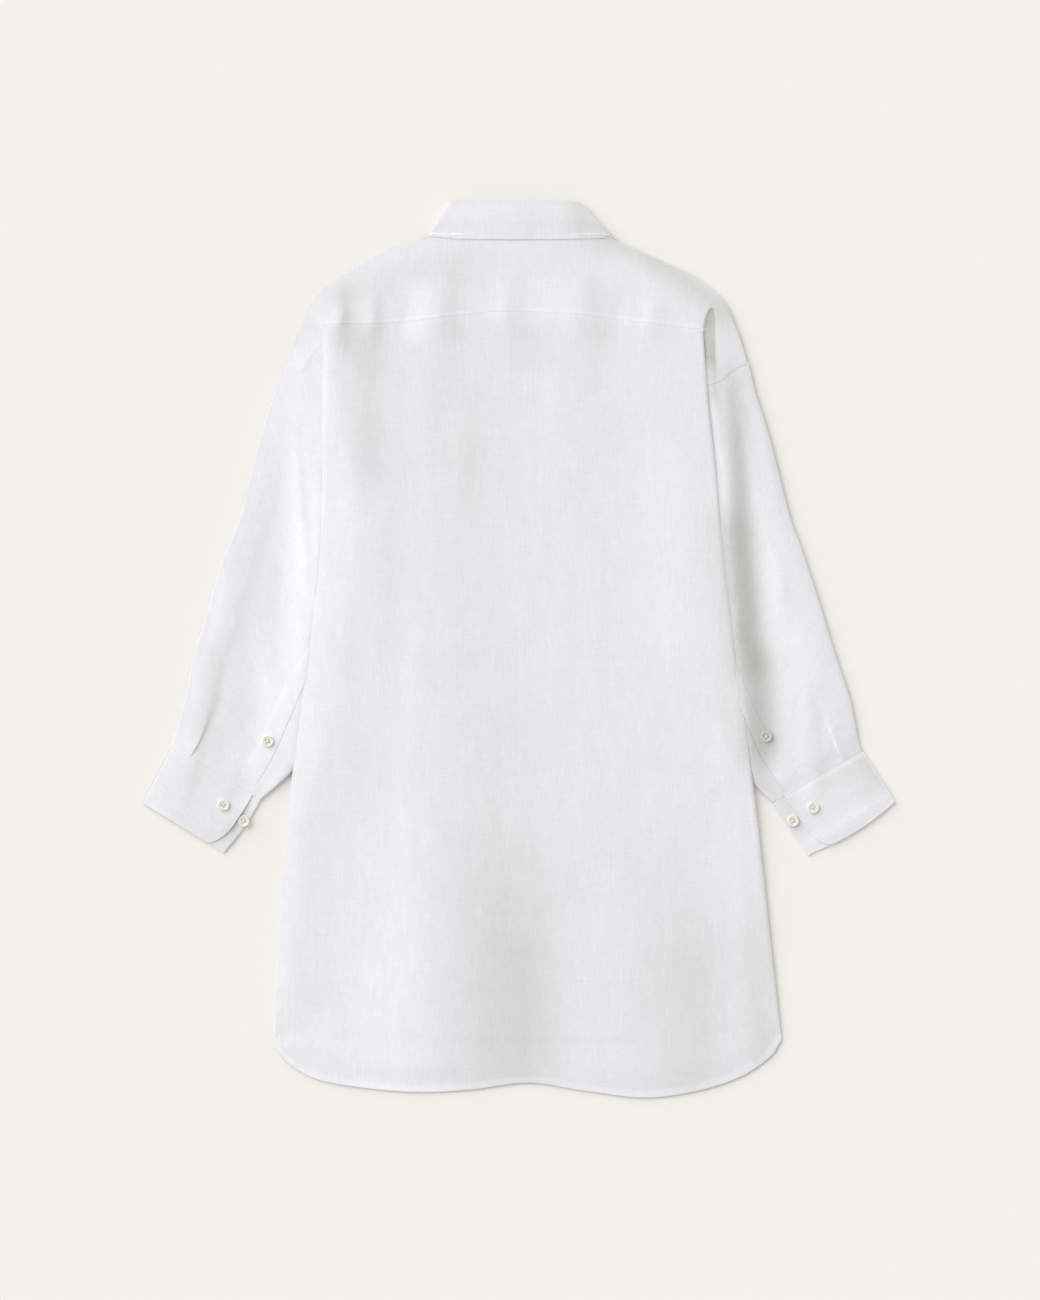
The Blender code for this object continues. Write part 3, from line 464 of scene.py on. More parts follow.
def seam_ridge(distance):
    """The turned-in edge of a lapped seam, with the grooves of its stitches."""
    ridge = 0.12 * falling(distance, 4.4, 2.8) + 0.08 * falling(distance, 9.0, 2.0)
    close_groove, far_groove = [0.06 * stitch_groove(distance, at) for at in SEAM_ROWS]
    return ridge * smooth(distance / 1.4) - close_groove - far_groove


# ---------------------------------------------------------------- heights of the layers

def collar_cover(x, y):
    """1 where the collar's front leaves lie under the fronts, 0 well away from them."""
    reach = 102.0 + 0.35 * (y - 285.0)
    return smooth((reach - np.abs(x)) / 22.0) * rising(y, 216.0, 56.0)


def front_under(side, x, y):
    """Underside of a front: on the table, the buttons and the collar; the left one laps on the right."""
    buttons_end = FRONT_BUTTON_TOP - (FRONT_BUTTONS - 1) * FRONT_BUTTON_PITCH
    beside = smooth((RIDGE_HALF - np.abs(x)) / 9.0)
    ridge = BUTTON_RIDGE * beside * smooth((y - buttons_end + 66.0) / 54.0)
    under = np.maximum(ridge, COLLAR_UNDER * collar_cover(x, y))
    return under + LAP_LIFT * smooth((x + FRONT_OVERLAP + 14.0) / 12.0) if side < 0 else under


def crest_level(x, y):
    """Height of the body between its edges: a middle, with a crest near each side."""
    _, left, middle, right, _ = columns(BODY_LEVEL, y)
    from_left = x - edge_x(EDGE[-1], y) - CREST_IN[0]
    from_right = edge_x(EDGE[1], y) - x - CREST_IN[1]
    return (middle + (left - middle) * (1 - smooth(from_left / CREST_REACH[0]))
            + (right - middle) * (1 - smooth(from_right / CREST_REACH[1])))


def body_top(x, y):
    """Top of the back and the yoke before their edges."""
    top = crest_level(x, y) + fold_rise(BODY_FOLDS, x, y)
    top = top + unevenness(x, y, 4, 60.0, 420.0, 0.05) + unevenness(x, y, 9, 17.0, 90.0, 0.012)
    over_fronts = y - edge_y(FRONT_HEM, x)
    top = top - 0.22 * falling(over_fronts, 2.0, 4.0)
    top = blend(top, NECK_HEIGHT, (y - NECK_START) / (NECK_END - NECK_START))
    lowest = front_under(-1, x, y) + BODY_CLEAR
    clear = 0.5 * (top + lowest + np.hypot(top - lowest, 0.5))
    return np.where((y < 330.0) & (over_fronts > -4.0), clear, top)


def rise_from(edge, top, distance, reach, edge_round=CRISP_ROUND):
    """Height near an edge: a small round at the edge, then a soft rise to the level inside."""
    t = np.clip(distance / reach, 0.0, 1.0)
    fall, width = edge_round
    return edge + (top - edge) * t * (1.5 - 0.5 * t * t) - fall * (1.0 - roll(distance, width))


def back_height(x, y):
    """Outer face of the back."""
    left_fold, _, _, _, right_fold = columns(BODY_LEVEL, y)
    left_reach, right_reach = columns(SIDE_REACH, y)
    top = body_top(x, y) + pucker_rise(x, y)
    top = rise_from(left_fold, top, near(x, y, 20.0, EDGE[-1]), left_reach)
    free = falling(y, -112.0, 20.0)
    edge_round = [crisp + (far - crisp) * free for crisp, far in zip(CRISP_ROUND, FAR_ROUND)]
    top = rise_from(right_fold, top, near(x, y, 20.0, EDGE[1]), right_reach, edge_round)
    hem = near(x, y, 8.0, BACK_HEM)
    top = rise_from(1.9, top, hem, 30.0, (0.25, 0.9))
    top = np.where(y > -125.0, np.maximum(top, sleeve_beside(x, y) + SINK), top)
    top = top - 0.1 * (1.0 - smooth((edge_y(YOKE_SEAM, x) - y) / 5.0))
    return top + HEM_RISE * hem_band(hem)


def yoke_base(x, y):
    """Outer face of the yoke between its seams, with the sunk pleat beside the back's right edge."""
    top = body_top(x, y) + pucker_rise(x, y)
    spread = 3.0 + 24.0 * rising(y, 316.0, 20.0)
    beside = smooth((outside_body(x, y) + 3.0) / spread) * falling(y, 348.0, 30.0)
    top = top + (sleeve_beside(x, y) - top) * beside
    deep = 0.06 + 0.94 * rising(y, 306.0, 26.0)
    top = top + (CAVITY_FLOOR - top) * cavity_share(x, y) * deep
    fold = near(x, y, 12.0, *SHOULDER.values())
    edge_round = [np.where(x < 0, crisp, far) for crisp, far in zip(CRISP_ROUND, FAR_ROUND)]
    at_fold = shoulder_fold(x, y, 0, NECK_FOLD)
    reach = shoulder_fold(x, y, 1, NECK_REACH)
    return rise_from(at_fold, top, fold, reach, edge_round)


def cavity_share(x, y):
    """1 inside the sunk pleat beside the back's right edge, 0 outside it."""
    beside = smooth(distance_to(CAVITY[:-2], x, y) / 2.2) * rising(y, 234.0, 26.0)
    return beside * points_inside(np.array(CAVITY), np.ravel(x), np.ravel(y)).reshape(np.shape(x))


def shoulder_fold(x, y, place, at_neck):
    """A value of a shoulder's fold: its sleeve's at the armhole, at_neck further up."""
    at_sleeve = np.where(x < 0, SLEEVE_EDGE[-1][place], SLEEVE_EDGE[1][place])
    return blend(at_sleeve, at_neck, (y - 285.0) / 60.0)


def yoke_height(x, y):
    """Outer face of the yoke with its lapped seams."""
    ridges = seam_ridge(near(x, y, 8.0, YOKE_SEAM)) + seam_ridge(near(x, y, 6.0, *ARMHOLE.values()))
    return yoke_base(x, y) + ridges + 0.01


def sleeve_under(x, y):
    """Underside of a sleeve: on the table, or on a front inside the body's edge."""
    return FRONT_STEP * falling(outside_body(x, y), 30.0, 18.0)


def beside_cuff(side, x, y):
    """Distance from a sleeve's cuff, and the share of its seam at which a point lies."""
    outer, _, _, inner = CUFF[side]["corners"]
    dx, dy = inner[0] - outer[0], inner[1] - outer[1]
    share = ((x - outer[0]) * dx + (y - outer[1]) * dy) / (dx * dx + dy * dy)
    return distance_to([outer, inner], x, y), share


def sleeve_top(side, x, y):
    """Top of a sleeve before its outer edge and its pleat."""
    outside = outside_body(x, y)
    at_fold, ridge_at, ridge, valley_at, valley, level_at, level = columns(SLEEVE_LEVEL[side], y)
    rise_start = np.maximum(ridge_at - 5.0, 0.0)
    top = blend(at_fold, ridge, (outside - rise_start) / (ridge_at - rise_start))
    down = np.clip((outside - ridge_at) / (valley_at - ridge_at), 0.0, 1.0)
    top = top + (valley - ridge) * (1.0 - (1.0 - down) ** 1.7 if side < 0 else smooth(down))
    top = top + (level - valley) * smooth((outside - valley_at) / (level_at - valley_at))
    top = blend(top, HIDDEN_SLEEVE, (-outside - 2.0) / 22.0)
    top = top + fold_rise(SLEEVE_FOLDS[side], x, y) * rising(outside, -2, 8.0)
    top = top + unevenness(x, y, SLEEVE_SEED[side], 34.0, 160.0, 0.05) * smooth(outside / 12.0)
    to_cuff, share = beside_cuff(side, x, y)
    seam_end = blend(*SEAM_END, (share - CUFF[side]["overlap_end"]) / 0.03)
    top = top + (seam_end - top) * (1.0 - rising(to_cuff, 1.0, 17.0))
    return np.maximum(top, sleeve_under(x, y) + SLEEVE_CLEAR)


def sleeve_beside(x, y):
    """Top of the sleeve on each point's own side."""
    return np.where(x < 0, sleeve_top(-1, x, y), sleeve_top(1, x, y))


def band_height(side, x, y):
    """Outer face of a sleeve opening's band: flush where it is sewn on, free at its opening."""
    sewn = BAND[side][0 if side < 0 else 1]
    to_cuff, _ = beside_cuff(side, x, y)
    free = smooth(near(x, y, 10.0, sewn) / 10.0) * smooth(to_cuff / 14.0)
    return sleeve_top(side, x, y) + 0.2 + 0.1 * smooth(to_cuff / 10.0) + 0.55 * free


def painted_cloth_shading(x, y):
    """Painted light and shade: the listed patches, a painted highlight just above the yoke's seam and along
    the hem, and painted shade in the sunk pleat.
    """
    above_seam = y - edge_y(YOKE_SEAM, x)
    # Painted highlight on a narrow strip just above the yoke's seam.
    seam = 0.06 * np.exp(-((above_seam - 1.6) / 1.8) ** 2) * (outside_body(x, y) < 2.0)
    # Painted highlight along the hem's fold.
    to_hem = near(x, y, 8.0, BACK_HEM)
    hem = HEM_PAINTED_HIGHLIGHT * smooth((HEM + 0.6 - to_hem) / 1.5) * rising(y, -470.0, 20.0)
    # Painted shade in the sunk pleat, deeper towards its top.
    deep = rising(y, 276.0, 14.0) * (0.8 + 0.2 * rising(y, 304.0, 20.0))
    sunk = CAVITY_PAINTED_SHADE * cavity_share(x, y) * deep * rising(outside_body(x, y), -1.2, 1.0)
    return fold_rise(PAINTED_LIGHT_AND_SHADE, x, y) / 100.0 + seam + hem + sunk


# ---------------------------------------------------------------- meshes

def add_object(name, verts, faces, finish, painted_shading=None):
    """Make a named object from millimetre points, with its painted light and shade at each point."""
    mesh = bpy.data.meshes.new(name)
    mesh.from_pydata((np.asarray(verts, dtype=float) * MM).tolist(), [], faces)
    mesh.materials.append(finish)
    mesh.shade_smooth()
    mesh.set_sharp_from_angle(angle=SHARP_ANGLE)
    keep_rim_sharp(mesh)
    if painted_shading is not None:
        values = mesh.attributes.new("painted_shading", "FLOAT", "POINT")
        values.data.foreach_set("value", painted_shading.astype(np.float32))
    made = bpy.data.objects.new(name, mesh)
    bpy.context.scene.collection.objects.link(made)
    return made


def keep_rim_sharp(mesh):
    """Mark the open edges of a sheet, so that its face does not shade round on to its cut edge."""
    edge_of = np.zeros(len(mesh.loops), dtype=np.int32)
    mesh.loops.foreach_get("edge_index", edge_of)
    marks = mesh.attributes.get("sharp_edge") or mesh.attributes.new("sharp_edge", "BOOLEAN", "EDGE")
    sharp = np.zeros(len(mesh.edges), dtype=bool)
    marks.data.foreach_get("value", sharp)
    sharp |= np.bincount(edge_of, minlength=len(mesh.edges)) == 1
    marks.data.foreach_set("value", sharp)


def painted_shading_of(verts, under):
    """Painted light and shade of a piece's points; under marks the ones turned towards the table, which get
    the painted shade and light of turned-under sides.
    """
    x, y = verts[:, 0], verts[:, 1]
    window_side = np.tanh((WINDOW_LEAN[0] * x + WINDOW_LEAN[1] * y) / WINDOW_FADE)
    return np.where(under, UNDERSIDE_PAINTED_SHADE + PAINTED_SHADE_SHIFT * window_side, painted_cloth_shading(x, y))


def add_wall(made, thickness):
    """Give an open surface its cloth thickness, inwards from its outer face."""
    wall = made.modifiers.new("wall", "SOLIDIFY")
    wall.thickness = thickness * MM
    wall.use_rim = True
    return wall


def add_thick_wall(made, thickness):
    """Give a middle surface its thickness on both sides, with softly rounded cut edges."""
    add_wall(made, thickness).offset = 0.0
    bevel = made.modifiers.new("edge", "BEVEL")
    bevel.width = SOFT_EDGE * MM
    bevel.segments = 2
    bevel.limit_method = "ANGLE"
    bevel.angle_limit = BEVEL_ANGLE


def face_out(made):
    """Point every face of a closed mesh outwards."""
    shape = bmesh.new()
    shape.from_mesh(made.data)
    bmesh.ops.recalc_face_normals(shape, faces=shape.faces)
    shape.to_mesh(made.data)
    shape.free()


def grid_faces(rows, across, closed=False):
    """Quads of a grid of rows of points; closed joins each row's last point to its first."""
    faces = []
    for r in range(rows - 1):
        for c in range(across if closed else across - 1):
            a, b = r * across + c, r * across + (c + 1) % across
            faces.append((a, b, b + across, a + across))
    return faces


def inward_normals(outline):
    """Unit normals of a counter-clockwise outline, pointing in."""
    return left_of(np.roll(outline, -1, axis=0) - np.roll(outline, 1, axis=0))


def ring_inside(outline, offset):
    """The outline moved inwards, without the points that come too close to it or crowd."""
    moved = outline + inward_normals(outline) * offset
    kept = []
    for point in moved[distance_round(outline, *moved.T) > 0.93 * offset]:
        if not kept or np.linalg.norm(point - kept[-1]) > 1.0:
            kept.append(point)
    return np.array(kept)


def points_inside(outline, x, y):
    """Even-odd test of many points against a closed outline."""
    hit = np.zeros(len(x), dtype=bool)
    for (x0, y0), (x1, y1) in zip(outline, np.roll(outline, -1, axis=0)):
        if y0 != y1:
            crosses = (y0 > y) != (y1 > y)
            hit ^= crosses & (x < x0 + (y - y0) * (x1 - x0) / (y1 - y0))
    return hit


def well_inside(outline, points, clear):
    """The points that lie inside the outline and clear of it."""
    keep = points_inside(outline, *points.T) & (distance_round(outline, *points.T) > clear)
    return points[keep]


def panel_points(outline, offsets, spacing):
    """Points of a panel: its outline, rings along its edge, and a grid inside them."""
    rings = [ring_inside(outline, offset) for offset in offsets]
    low, high = outline.min(axis=0), outline.max(axis=0)
    gx, gy = np.meshgrid(np.arange(low[0], high[0], spacing), np.arange(low[1], high[1], spacing))
    grid = np.column_stack([gx.ravel(), gy.ravel()])
    return np.vstack([outline, *rings, well_inside(outline, grid, max(offsets) + 0.6 * spacing)])


INSIDE_ONLY = 1         # delaunay_2d_cdt keeps only the faces inside the outline
MERGE_WITHIN = 1e-5


def fill(points, count):
    """Triangulate the points inside the outline made by the first count of them."""
    loop = [(k, (k + 1) % count) for k in range(count)]
    found = delaunay_2d_cdt([Vector(p) for p in points.tolist()], loop, [], INSIDE_ONLY, MERGE_WITHIN)
    return np.array([tuple(p) for p in found[0]]), [tuple(face) for face in found[2]]


def cloth_panel(name, outline, height, finish, offsets, spacing=GRID, wall=CLOTH, turns=(), extra=None):
    """A cloth panel on its height. Turns are parts of its edge that fold under: first, last, drop."""
    points = panel_points(outline, offsets, spacing)
    if extra is not None:
        points = np.vstack([points, well_inside(outline, extra, 0.4)])
    points, faces = fill(points, len(outline))
    verts = np.column_stack([points, height(*points.T)])
    for first, last, drop in turns:
        verts, faces = turn_under(verts, faces, outline, first, last, drop)
    under = np.arange(len(verts)) >= len(points)
    made = add_object(name, verts, faces, finish, painted_shading_of(verts, under))
    add_wall(made, wall)
    return made


def turn_under(verts, faces, outline, first, last, drop):
    """Carry the cloth round a fold at the outline's edge, down by drop and back in a little."""
    normals = inward_normals(outline)[first:last]
    base = verts[first:last]
    depth = np.maximum(drop(*base.T), 0.5)
    reach = np.minimum(0.8 * depth, 3.2)
    faces = list(faces)
    previous = list(range(first, last))
    for inwards, down in FOLD_TURN:
        row = base.copy()
        row[:, :2] += normals * (reach * inwards + max(0.0, inwards - 1.0) * 2.0)[:, None]
        row[:, 2] -= depth * down
        current = list(range(len(verts), len(verts) + len(row)))
        verts = np.vstack([verts, row])
        for a, b, c, d in zip(previous, previous[1:], current[1:], current):
            faces.append((b, a, d, c))
        previous = current
    return verts, faces


def side_drop(x, y, z):
    """How far a side fold of the back reaches down to what it lies on."""
    return z - 0.9 - (sleeve_beside(x, y) - 0.6) * rising(y, -134.0, 10.0)


def shoulder_drop(x, y, z):
    """How far a shoulder's fold reaches down to the front."""
    return z - front_under(1, x, y) - 1.0


# ---------------------------------------------------------------- materials

class Nodes:
    """Short names for building a material's node tree."""

    def __init__(self, name):
        self.material = bpy.data.materials.new(name)
        self.material.use_nodes = True
        self.tree = self.material.node_tree

    def set(self, node, inputs):
        """Give a node's inputs their values, or link them to other nodes' outputs."""
        for key, value in inputs.items():
            if isinstance(value, bpy.types.NodeSocket):
                self.tree.links.new(value, node.inputs[key])
            else:
                node.inputs[key].default_value = value

    def add(self, kind, inputs, **settings):
        made = self.tree.nodes.new(kind)
        for key, value in settings.items():
            setattr(made, key, value)
        self.set(made, inputs)
        return made

    def math(self, operation, a, b):
        return self.add("ShaderNodeMath", {0: a, 1: b}, operation=operation).outputs[0]

    def place(self, turn, scale):
        """Object coordinates, turned about Z and scaled along the cloth's threads."""
        coords = self.add("ShaderNodeTexCoord", {}).outputs["Object"]
        turned = self.add("ShaderNodeMapping", {"Vector": coords, "Rotation": (0.0, 0.0, turn)}).outputs[0]
        return self.add("ShaderNodeMapping", {"Vector": turned, "Scale": scale}).outputs[0]

    def noise(self, vector, detail, roughness=0.5):
        inputs = {"Vector": vector, "Scale": 1.0, "Detail": detail, "Roughness": roughness}
        return self.add("ShaderNodeTexNoise", inputs).outputs["Fac"]

    def spread(self, value, low, high, to_low, to_high):
        """Map a value's range on to another one."""
        inputs = {"Value": value, "From Min": low, "From Max": high, "To Min": to_low, "To Max": to_high}
        return self.add("ShaderNodeMapRange", inputs).outputs["Result"]

    def scaled(self, colour, share):
        """A colour made lighter or darker."""
        made = self.add("ShaderNodeVectorMath", {0: colour, "Scale": share}, operation="SCALE")
        return made.outputs["Vector"]

    def surface(self, colour, inputs):
        """Finish the material with its colour and its other values."""
        self.set(self.tree.nodes["Principled BSDF"], {"Base Color": colour, **inputs})
        return self.material


LINEN = (0.804, 0.798, 0.822)
# Tint of the painted shade: each channel follows the painted light and shade this strongly, so painted shade
# turns slightly olive.
LINEN_SHADE_TINT = (1.0, 0.95, 1.2)    # how strongly each channel follows the cloth's tone
# Sizes in metres: thread and weave pitch, and how long a thread and a slub keep their look.
THREAD = 0.0014
THREAD_RUN = 0.011
SLUB = 0.0026
WEAVE = 0.0011


def linen(name, turn_deg):
    """White plain-weave linen: uneven threads both ways, slubs and a matt, slightly hairy face."""
    n = Nodes(name)
    turn = math.radians(turn_deg)
    warp = n.noise(n.place(turn, (1 / THREAD, 1 / THREAD_RUN, 60.0)), 2.0)
    weft = n.noise(n.place(turn, (1 / THREAD_RUN, 1 / THREAD, 60.0)), 2.0)
    slub_weft = n.noise(n.place(turn, (1 / 0.030, 1 / SLUB, 60.0)), 1.0)
    slub_warp = n.noise(n.place(turn, (1 / SLUB, 1 / 0.034, 60.0)), 1.0)
    cloud = n.noise(n.place(turn, (90.0, 30.0, 30.0)), 4.0, 0.6)
    threads = n.math("ADD", n.spread(warp, 0.3, 0.7, -0.024, 0.024),
                     n.spread(weft, 0.3, 0.7, -0.016, 0.016))
    slubs = n.math("ADD", n.spread(slub_weft, 0.62, 0.8, 0.0, 0.02),
                   n.spread(slub_warp, 0.58, 0.78, 0.0, 0.034))
    shade = n.math("ADD", n.math("ADD", threads, slubs), n.spread(cloud, 0.3, 0.7, -0.016, 0.016))
    # Painted light and shade: the cloth's colour is raised or lowered by the values stored at its points.
    painted_shading = n.add("ShaderNodeAttribute", {}, attribute_name="painted_shading").outputs["Fac"]
    shade_tint = tuple(channel * share for channel, share in zip(LINEN, LINEN_SHADE_TINT))
    painted_colour = n.add("ShaderNodeVectorMath", {0: painted_shading, 1: shade_tint, 2: LINEN}, operation="MULTIPLY_ADD")
    colour = n.scaled(painted_colour.outputs["Vector"], n.math("ADD", shade, 0.998))
    inputs = {"Vector": n.place(turn, (1.0, 1.0, 1.0)), "Scale": 0.5 / WEAVE, "Distortion": 0.6,
              "Detail Scale": 300.0}
    ribs = [n.add("ShaderNodeTexWave", inputs, bands_direction=way).outputs["Fac"] for way in "XY"]
    height = n.math("ADD", n.math("MULTIPLY", n.math("MAXIMUM", *ribs), 0.35), n.math("ADD", warp, weft))
    height = n.math("ADD", height, n.math("MULTIPLY", slubs, 12.0))
    bump = n.add("ShaderNodeBump", {"Strength": 0.32, "Distance": 0.00022, "Height": height})
    return n.surface(colour, {"Normal": bump.outputs["Normal"], "Roughness": 0.88, "Specular IOR Level": 0.2,
                              "Sheen Weight": 0.12, "Sheen Roughness": 0.5})


def thread_finish():
    """Sewing thread: a little brighter than the linen, with the twist of its plies."""
    n = Nodes("thread")
    fibre = n.noise(n.place(0.0, (2500.0, 2500.0, 2500.0)), 1.0)
    colour = n.scaled((0.80, 0.80, 0.82), n.spread(fibre, 0.3, 0.7, 0.94, 1.04))
    return n.surface(colour, {"Roughness": 0.6, "Specular IOR Level": 0.3})


def shell_finish(name, light):
    """Polished cream shell with faint flowing bands, dimmed where a button lies in a fold's shade."""
    n = Nodes(name)
    flow = n.noise(n.place(0.6, (420.0, 160.0, 400.0)), 3.0)
    ramp = n.add("ShaderNodeValToRGB", {"Fac": flow})
    bands = [(0.3, (0.77, 0.755, 0.62)), (0.68, (0.88, 0.875, 0.78))]
    for stop, (position, colour) in zip(ramp.color_ramp.elements, bands):
        stop.position = position
        stop.color = (*[channel * light for channel in colour], 1.0)
    return n.surface(ramp.outputs["Color"], {"Roughness": 0.28, "Coat Weight": 0.3 * light,
                                             "Coat Roughness": 0.12})


def floor_finish():
    n = Nodes("floor")
    grain = n.noise(n.place(0.0, (4.0, 4.0, 4.0)), 2.0)
    colour = n.scaled((0.905, 0.880, 0.839), n.spread(grain, 0.3, 0.7, 0.999, 1.001))
    return n.surface(colour, {"Roughness": 0.95, "Specular IOR Level": 0.0})


# ---------------------------------------------------------------- stitches

def stitches(name, lines, finish):
    """Rows of stitches as one mesh. Each line is an array of x, y, z at the cloth's face."""
    verts, faces = [], []
    for line in lines:
        places, along = resample(line, STITCH_PITCH)
        side = unit(np.cross(along, (0.0, 0.0, 1.0)))
        up = np.cross(side, along)
        for place, axes in zip(places, np.stack([along, side, up], axis=1)):
            start = len(verts)
            verts.extend(place + STITCH_POINTS @ axes)
            for k in range(1, 5):
                n = k % 4 + 1
                faces += [(start, start + n, start + k), (start + k, start + n, start + 4 + n, start + 4 + k),
                          (start + 9, start + 4 + k, start + 4 + n)]
    made = add_object(name, verts, faces, finish)
    face_out(made)
    return made


def on_face(line, height, lift=0.0):
    """Lift a flat line on to a cloth face."""
    return np.column_stack([line, height(*line.T) + lift])


# ---------------------------------------------------------------- pieces: each with its stitches, if it has any

def make_back(finish, thread):
    left, right, hem, seam = [curve_through(line, 3.0) for line in (EDGE[-1], EDGE[1], BACK_HEM, YOKE_SEAM)]
    seam = seam + (0.0, 1.6)
    outline = np.vstack([hem[:-1], right[:-1], seam[:0:-1], left[:0:-1]])
    right_start = len(hem) - 1
    left_start = right_start + len(right) + len(seam) - 2
    turns = [(right_start, right_start + len(right) - 1, side_drop), (left_start, len(outline), side_drop)]
    offsets = (0.15, 0.5, 1.2, 2.2, 3.4, 4.2, 5.0, 5.8, 6.6, 8.4, 11.0, 14.0)
    made = cloth_panel("back_cloth", outline, back_height, finish, offsets, turns=turns)
    hem_line = offset_line(curve_through(BACK_HEM, 4.0), HEM - STITCH_IN)
    return made, stitches("back_stitches", [on_face(hem_line[2:-2], back_height)], thread)


def make_yoke(finish, thread):
    neck = curve_through(NECK, 4.0)
    left, right, seam = [curve_through(line, 3.0) for line in (SHOULDER[-1], SHOULDER[1], YOKE_SEAM)]
    left_hole, right_hole = [curve_through(ARMHOLE[side], 2.5) for side in (-1, 1)]
    left_side = [(-195.0, 307.5), (-194.7, 313), (-194.6, 319), (-195.1, 324)]
    right_side = [(184.0, 318), (184.7, 305), (185.5, 292), (186.3, 278), (187.2, 264)]
    outline = np.vstack([neck, left[1:-1], left_hole[:-1], left_side, seam[1:-1], right_side,
                         right_hole[-2:0:-1], right[:0:-1]])
    turns = [(len(neck) - 1, len(neck) + len(left) - 2, shoulder_drop),
             (len(outline) - len(right) + 1, len(outline), shoulder_drop)]
    step = curve_through(CAVITY[:-2], 1.6)
    crisp = np.vstack([offset_line(step, aside) for aside in (-2.2, -1.5, -0.8, -0.2, 0.6)])
    offsets = (0.15, 0.5, 1.3, 2.0, 2.7, 4.4, 6.2, 7.0, 7.8, 9.0, 11.5)
    made = cloth_panel("yoke_cloth", outline, yoke_height, finish, offsets, 2.8, YOKE_CLOTH, turns, crisp)
    close, far = SEAM_ROWS
    rows = [(seam, close, 2, -3), (seam, far, 3, -4), (left_hole, close, 1, -1), (left_hole, far, 2, -2),
            (right_hole, -2.5, 1, -1), (right_hole, -11.5, 3, -3)]
    lines = [on_face(offset_line(line, aside)[first:last], yoke_height) for line, aside, first, last in rows]
    return made, stitches("yoke_stitches", lines, thread)


def front_outline(side):
    centre = -side * FRONT_OVERLAP
    hem = curve_through(FRONT_HEM, 4.0)
    hem = hem[hem[:, 0] * side > -FRONT_OVERLAP + 2][::side]
    hole = curve_through(ARMHOLE[side], 4.0)[::-1] + (-side * 1.5, 1.5)
    edge = curve_through(EDGE[side], 4.0) - (side * 1.2, 0.0)
    edge = edge[(edge[:, 1] > -342) & (edge[:, 1] < hole[0][1] - 5.0)]
    top = curve_through(SHOULDER[side], 4.0)[::-1] - (side * 1.6, 1.0)
    neck = curve_through([(side * 70.0, 370), (side * 44, 337), (side * 24, 320), (centre, 314)], 4.0)
    down = np.linspace(310.0, -384.0, 174)
    closing = np.column_stack([np.full_like(down, centre), down])
    return np.vstack([[(centre, -388.5)], hem, edge, hole, top[1:], neck, closing])[::side]


def make_front(side, finish, thread):
    """A front, face down; its underside rests on the table."""
    name = "front_" + SIDE_NAME[side]
    under = partial(front_under, side)
    made = cloth_panel(name + "_cloth", front_outline(side), lambda x, y: under(x, y) + CLOTH, finish,
                       (0.8, 2.0, 4.0, 6.0), spacing=4.6)
    places = [-side * (FRONT_OVERLAP - 3.0), side * (FRONT_OVERLAP - 2.0)]
    lines = [on_face(curve_through([(x, 306.0), (x, -380)], 4.0), under, 0.12) for x in places]
    return made, stitches(name + "_stitches", lines, thread)


def sleeve_sections(table):
    """Sections of a sleeve, closer together than the table's."""
    rows = curve_through(table, 4.6)
    near_start = rows[0] + (rows[1] - rows[0]) * np.array([[0.03], [0.3]])
    near_end = rows[-2] + (rows[-1] - rows[-2]) * np.array([[0.6], [0.96]])
    return np.vstack([rows[:1], near_start, rows[1:-1], near_end, rows[-1:]])


def armhole_bend(side, u):
    """How far an armhole seam bends from the straight line between its ends."""
    seam = curve_through(ARMHOLE[side] + ARMHOLE_HIDDEN[side], 4.0)
    start, end = seam[0], seam[-1]
    straight = start[:, None] + (end - start)[:, None] * u
    return np.interp(straight[0], *seam[::-side].T) - straight[1]


def across_sleeve(width, pleat_at):
    """Distances from the outer edge, fine at both edges and at the pleat."""
    pleat = [pleat_at + step for step in PLEAT_STEPS]
    inner = [width - step for step in EDGE_STEPS[::-1]]
    return np.array([*EDGE_STEPS, *pleat, *np.linspace(pleat_at + 10.0, width - 16.0, 27), *inner])


def pleated(top, e, above, length, step):
    """Raise the cloth to the pleat's fold and drop it past it: crisp at the cuff, soft higher up."""
    width = 0.3 + 11.0 * rising(above, 4.0, 92.0)
    past = smooth(0.5 + 0.5 * e / width)
    ridge = 0.55 * np.exp(-np.clip(-e, 0, None) / 9.0) * (1.0 - past)
    drop = -0.45 * np.exp(-np.clip(e, 0, None) / 11.0) * past
    return top + step * smooth((length - above) / length * 1.6) * smooth(above / 5.0) * (ridge + drop)


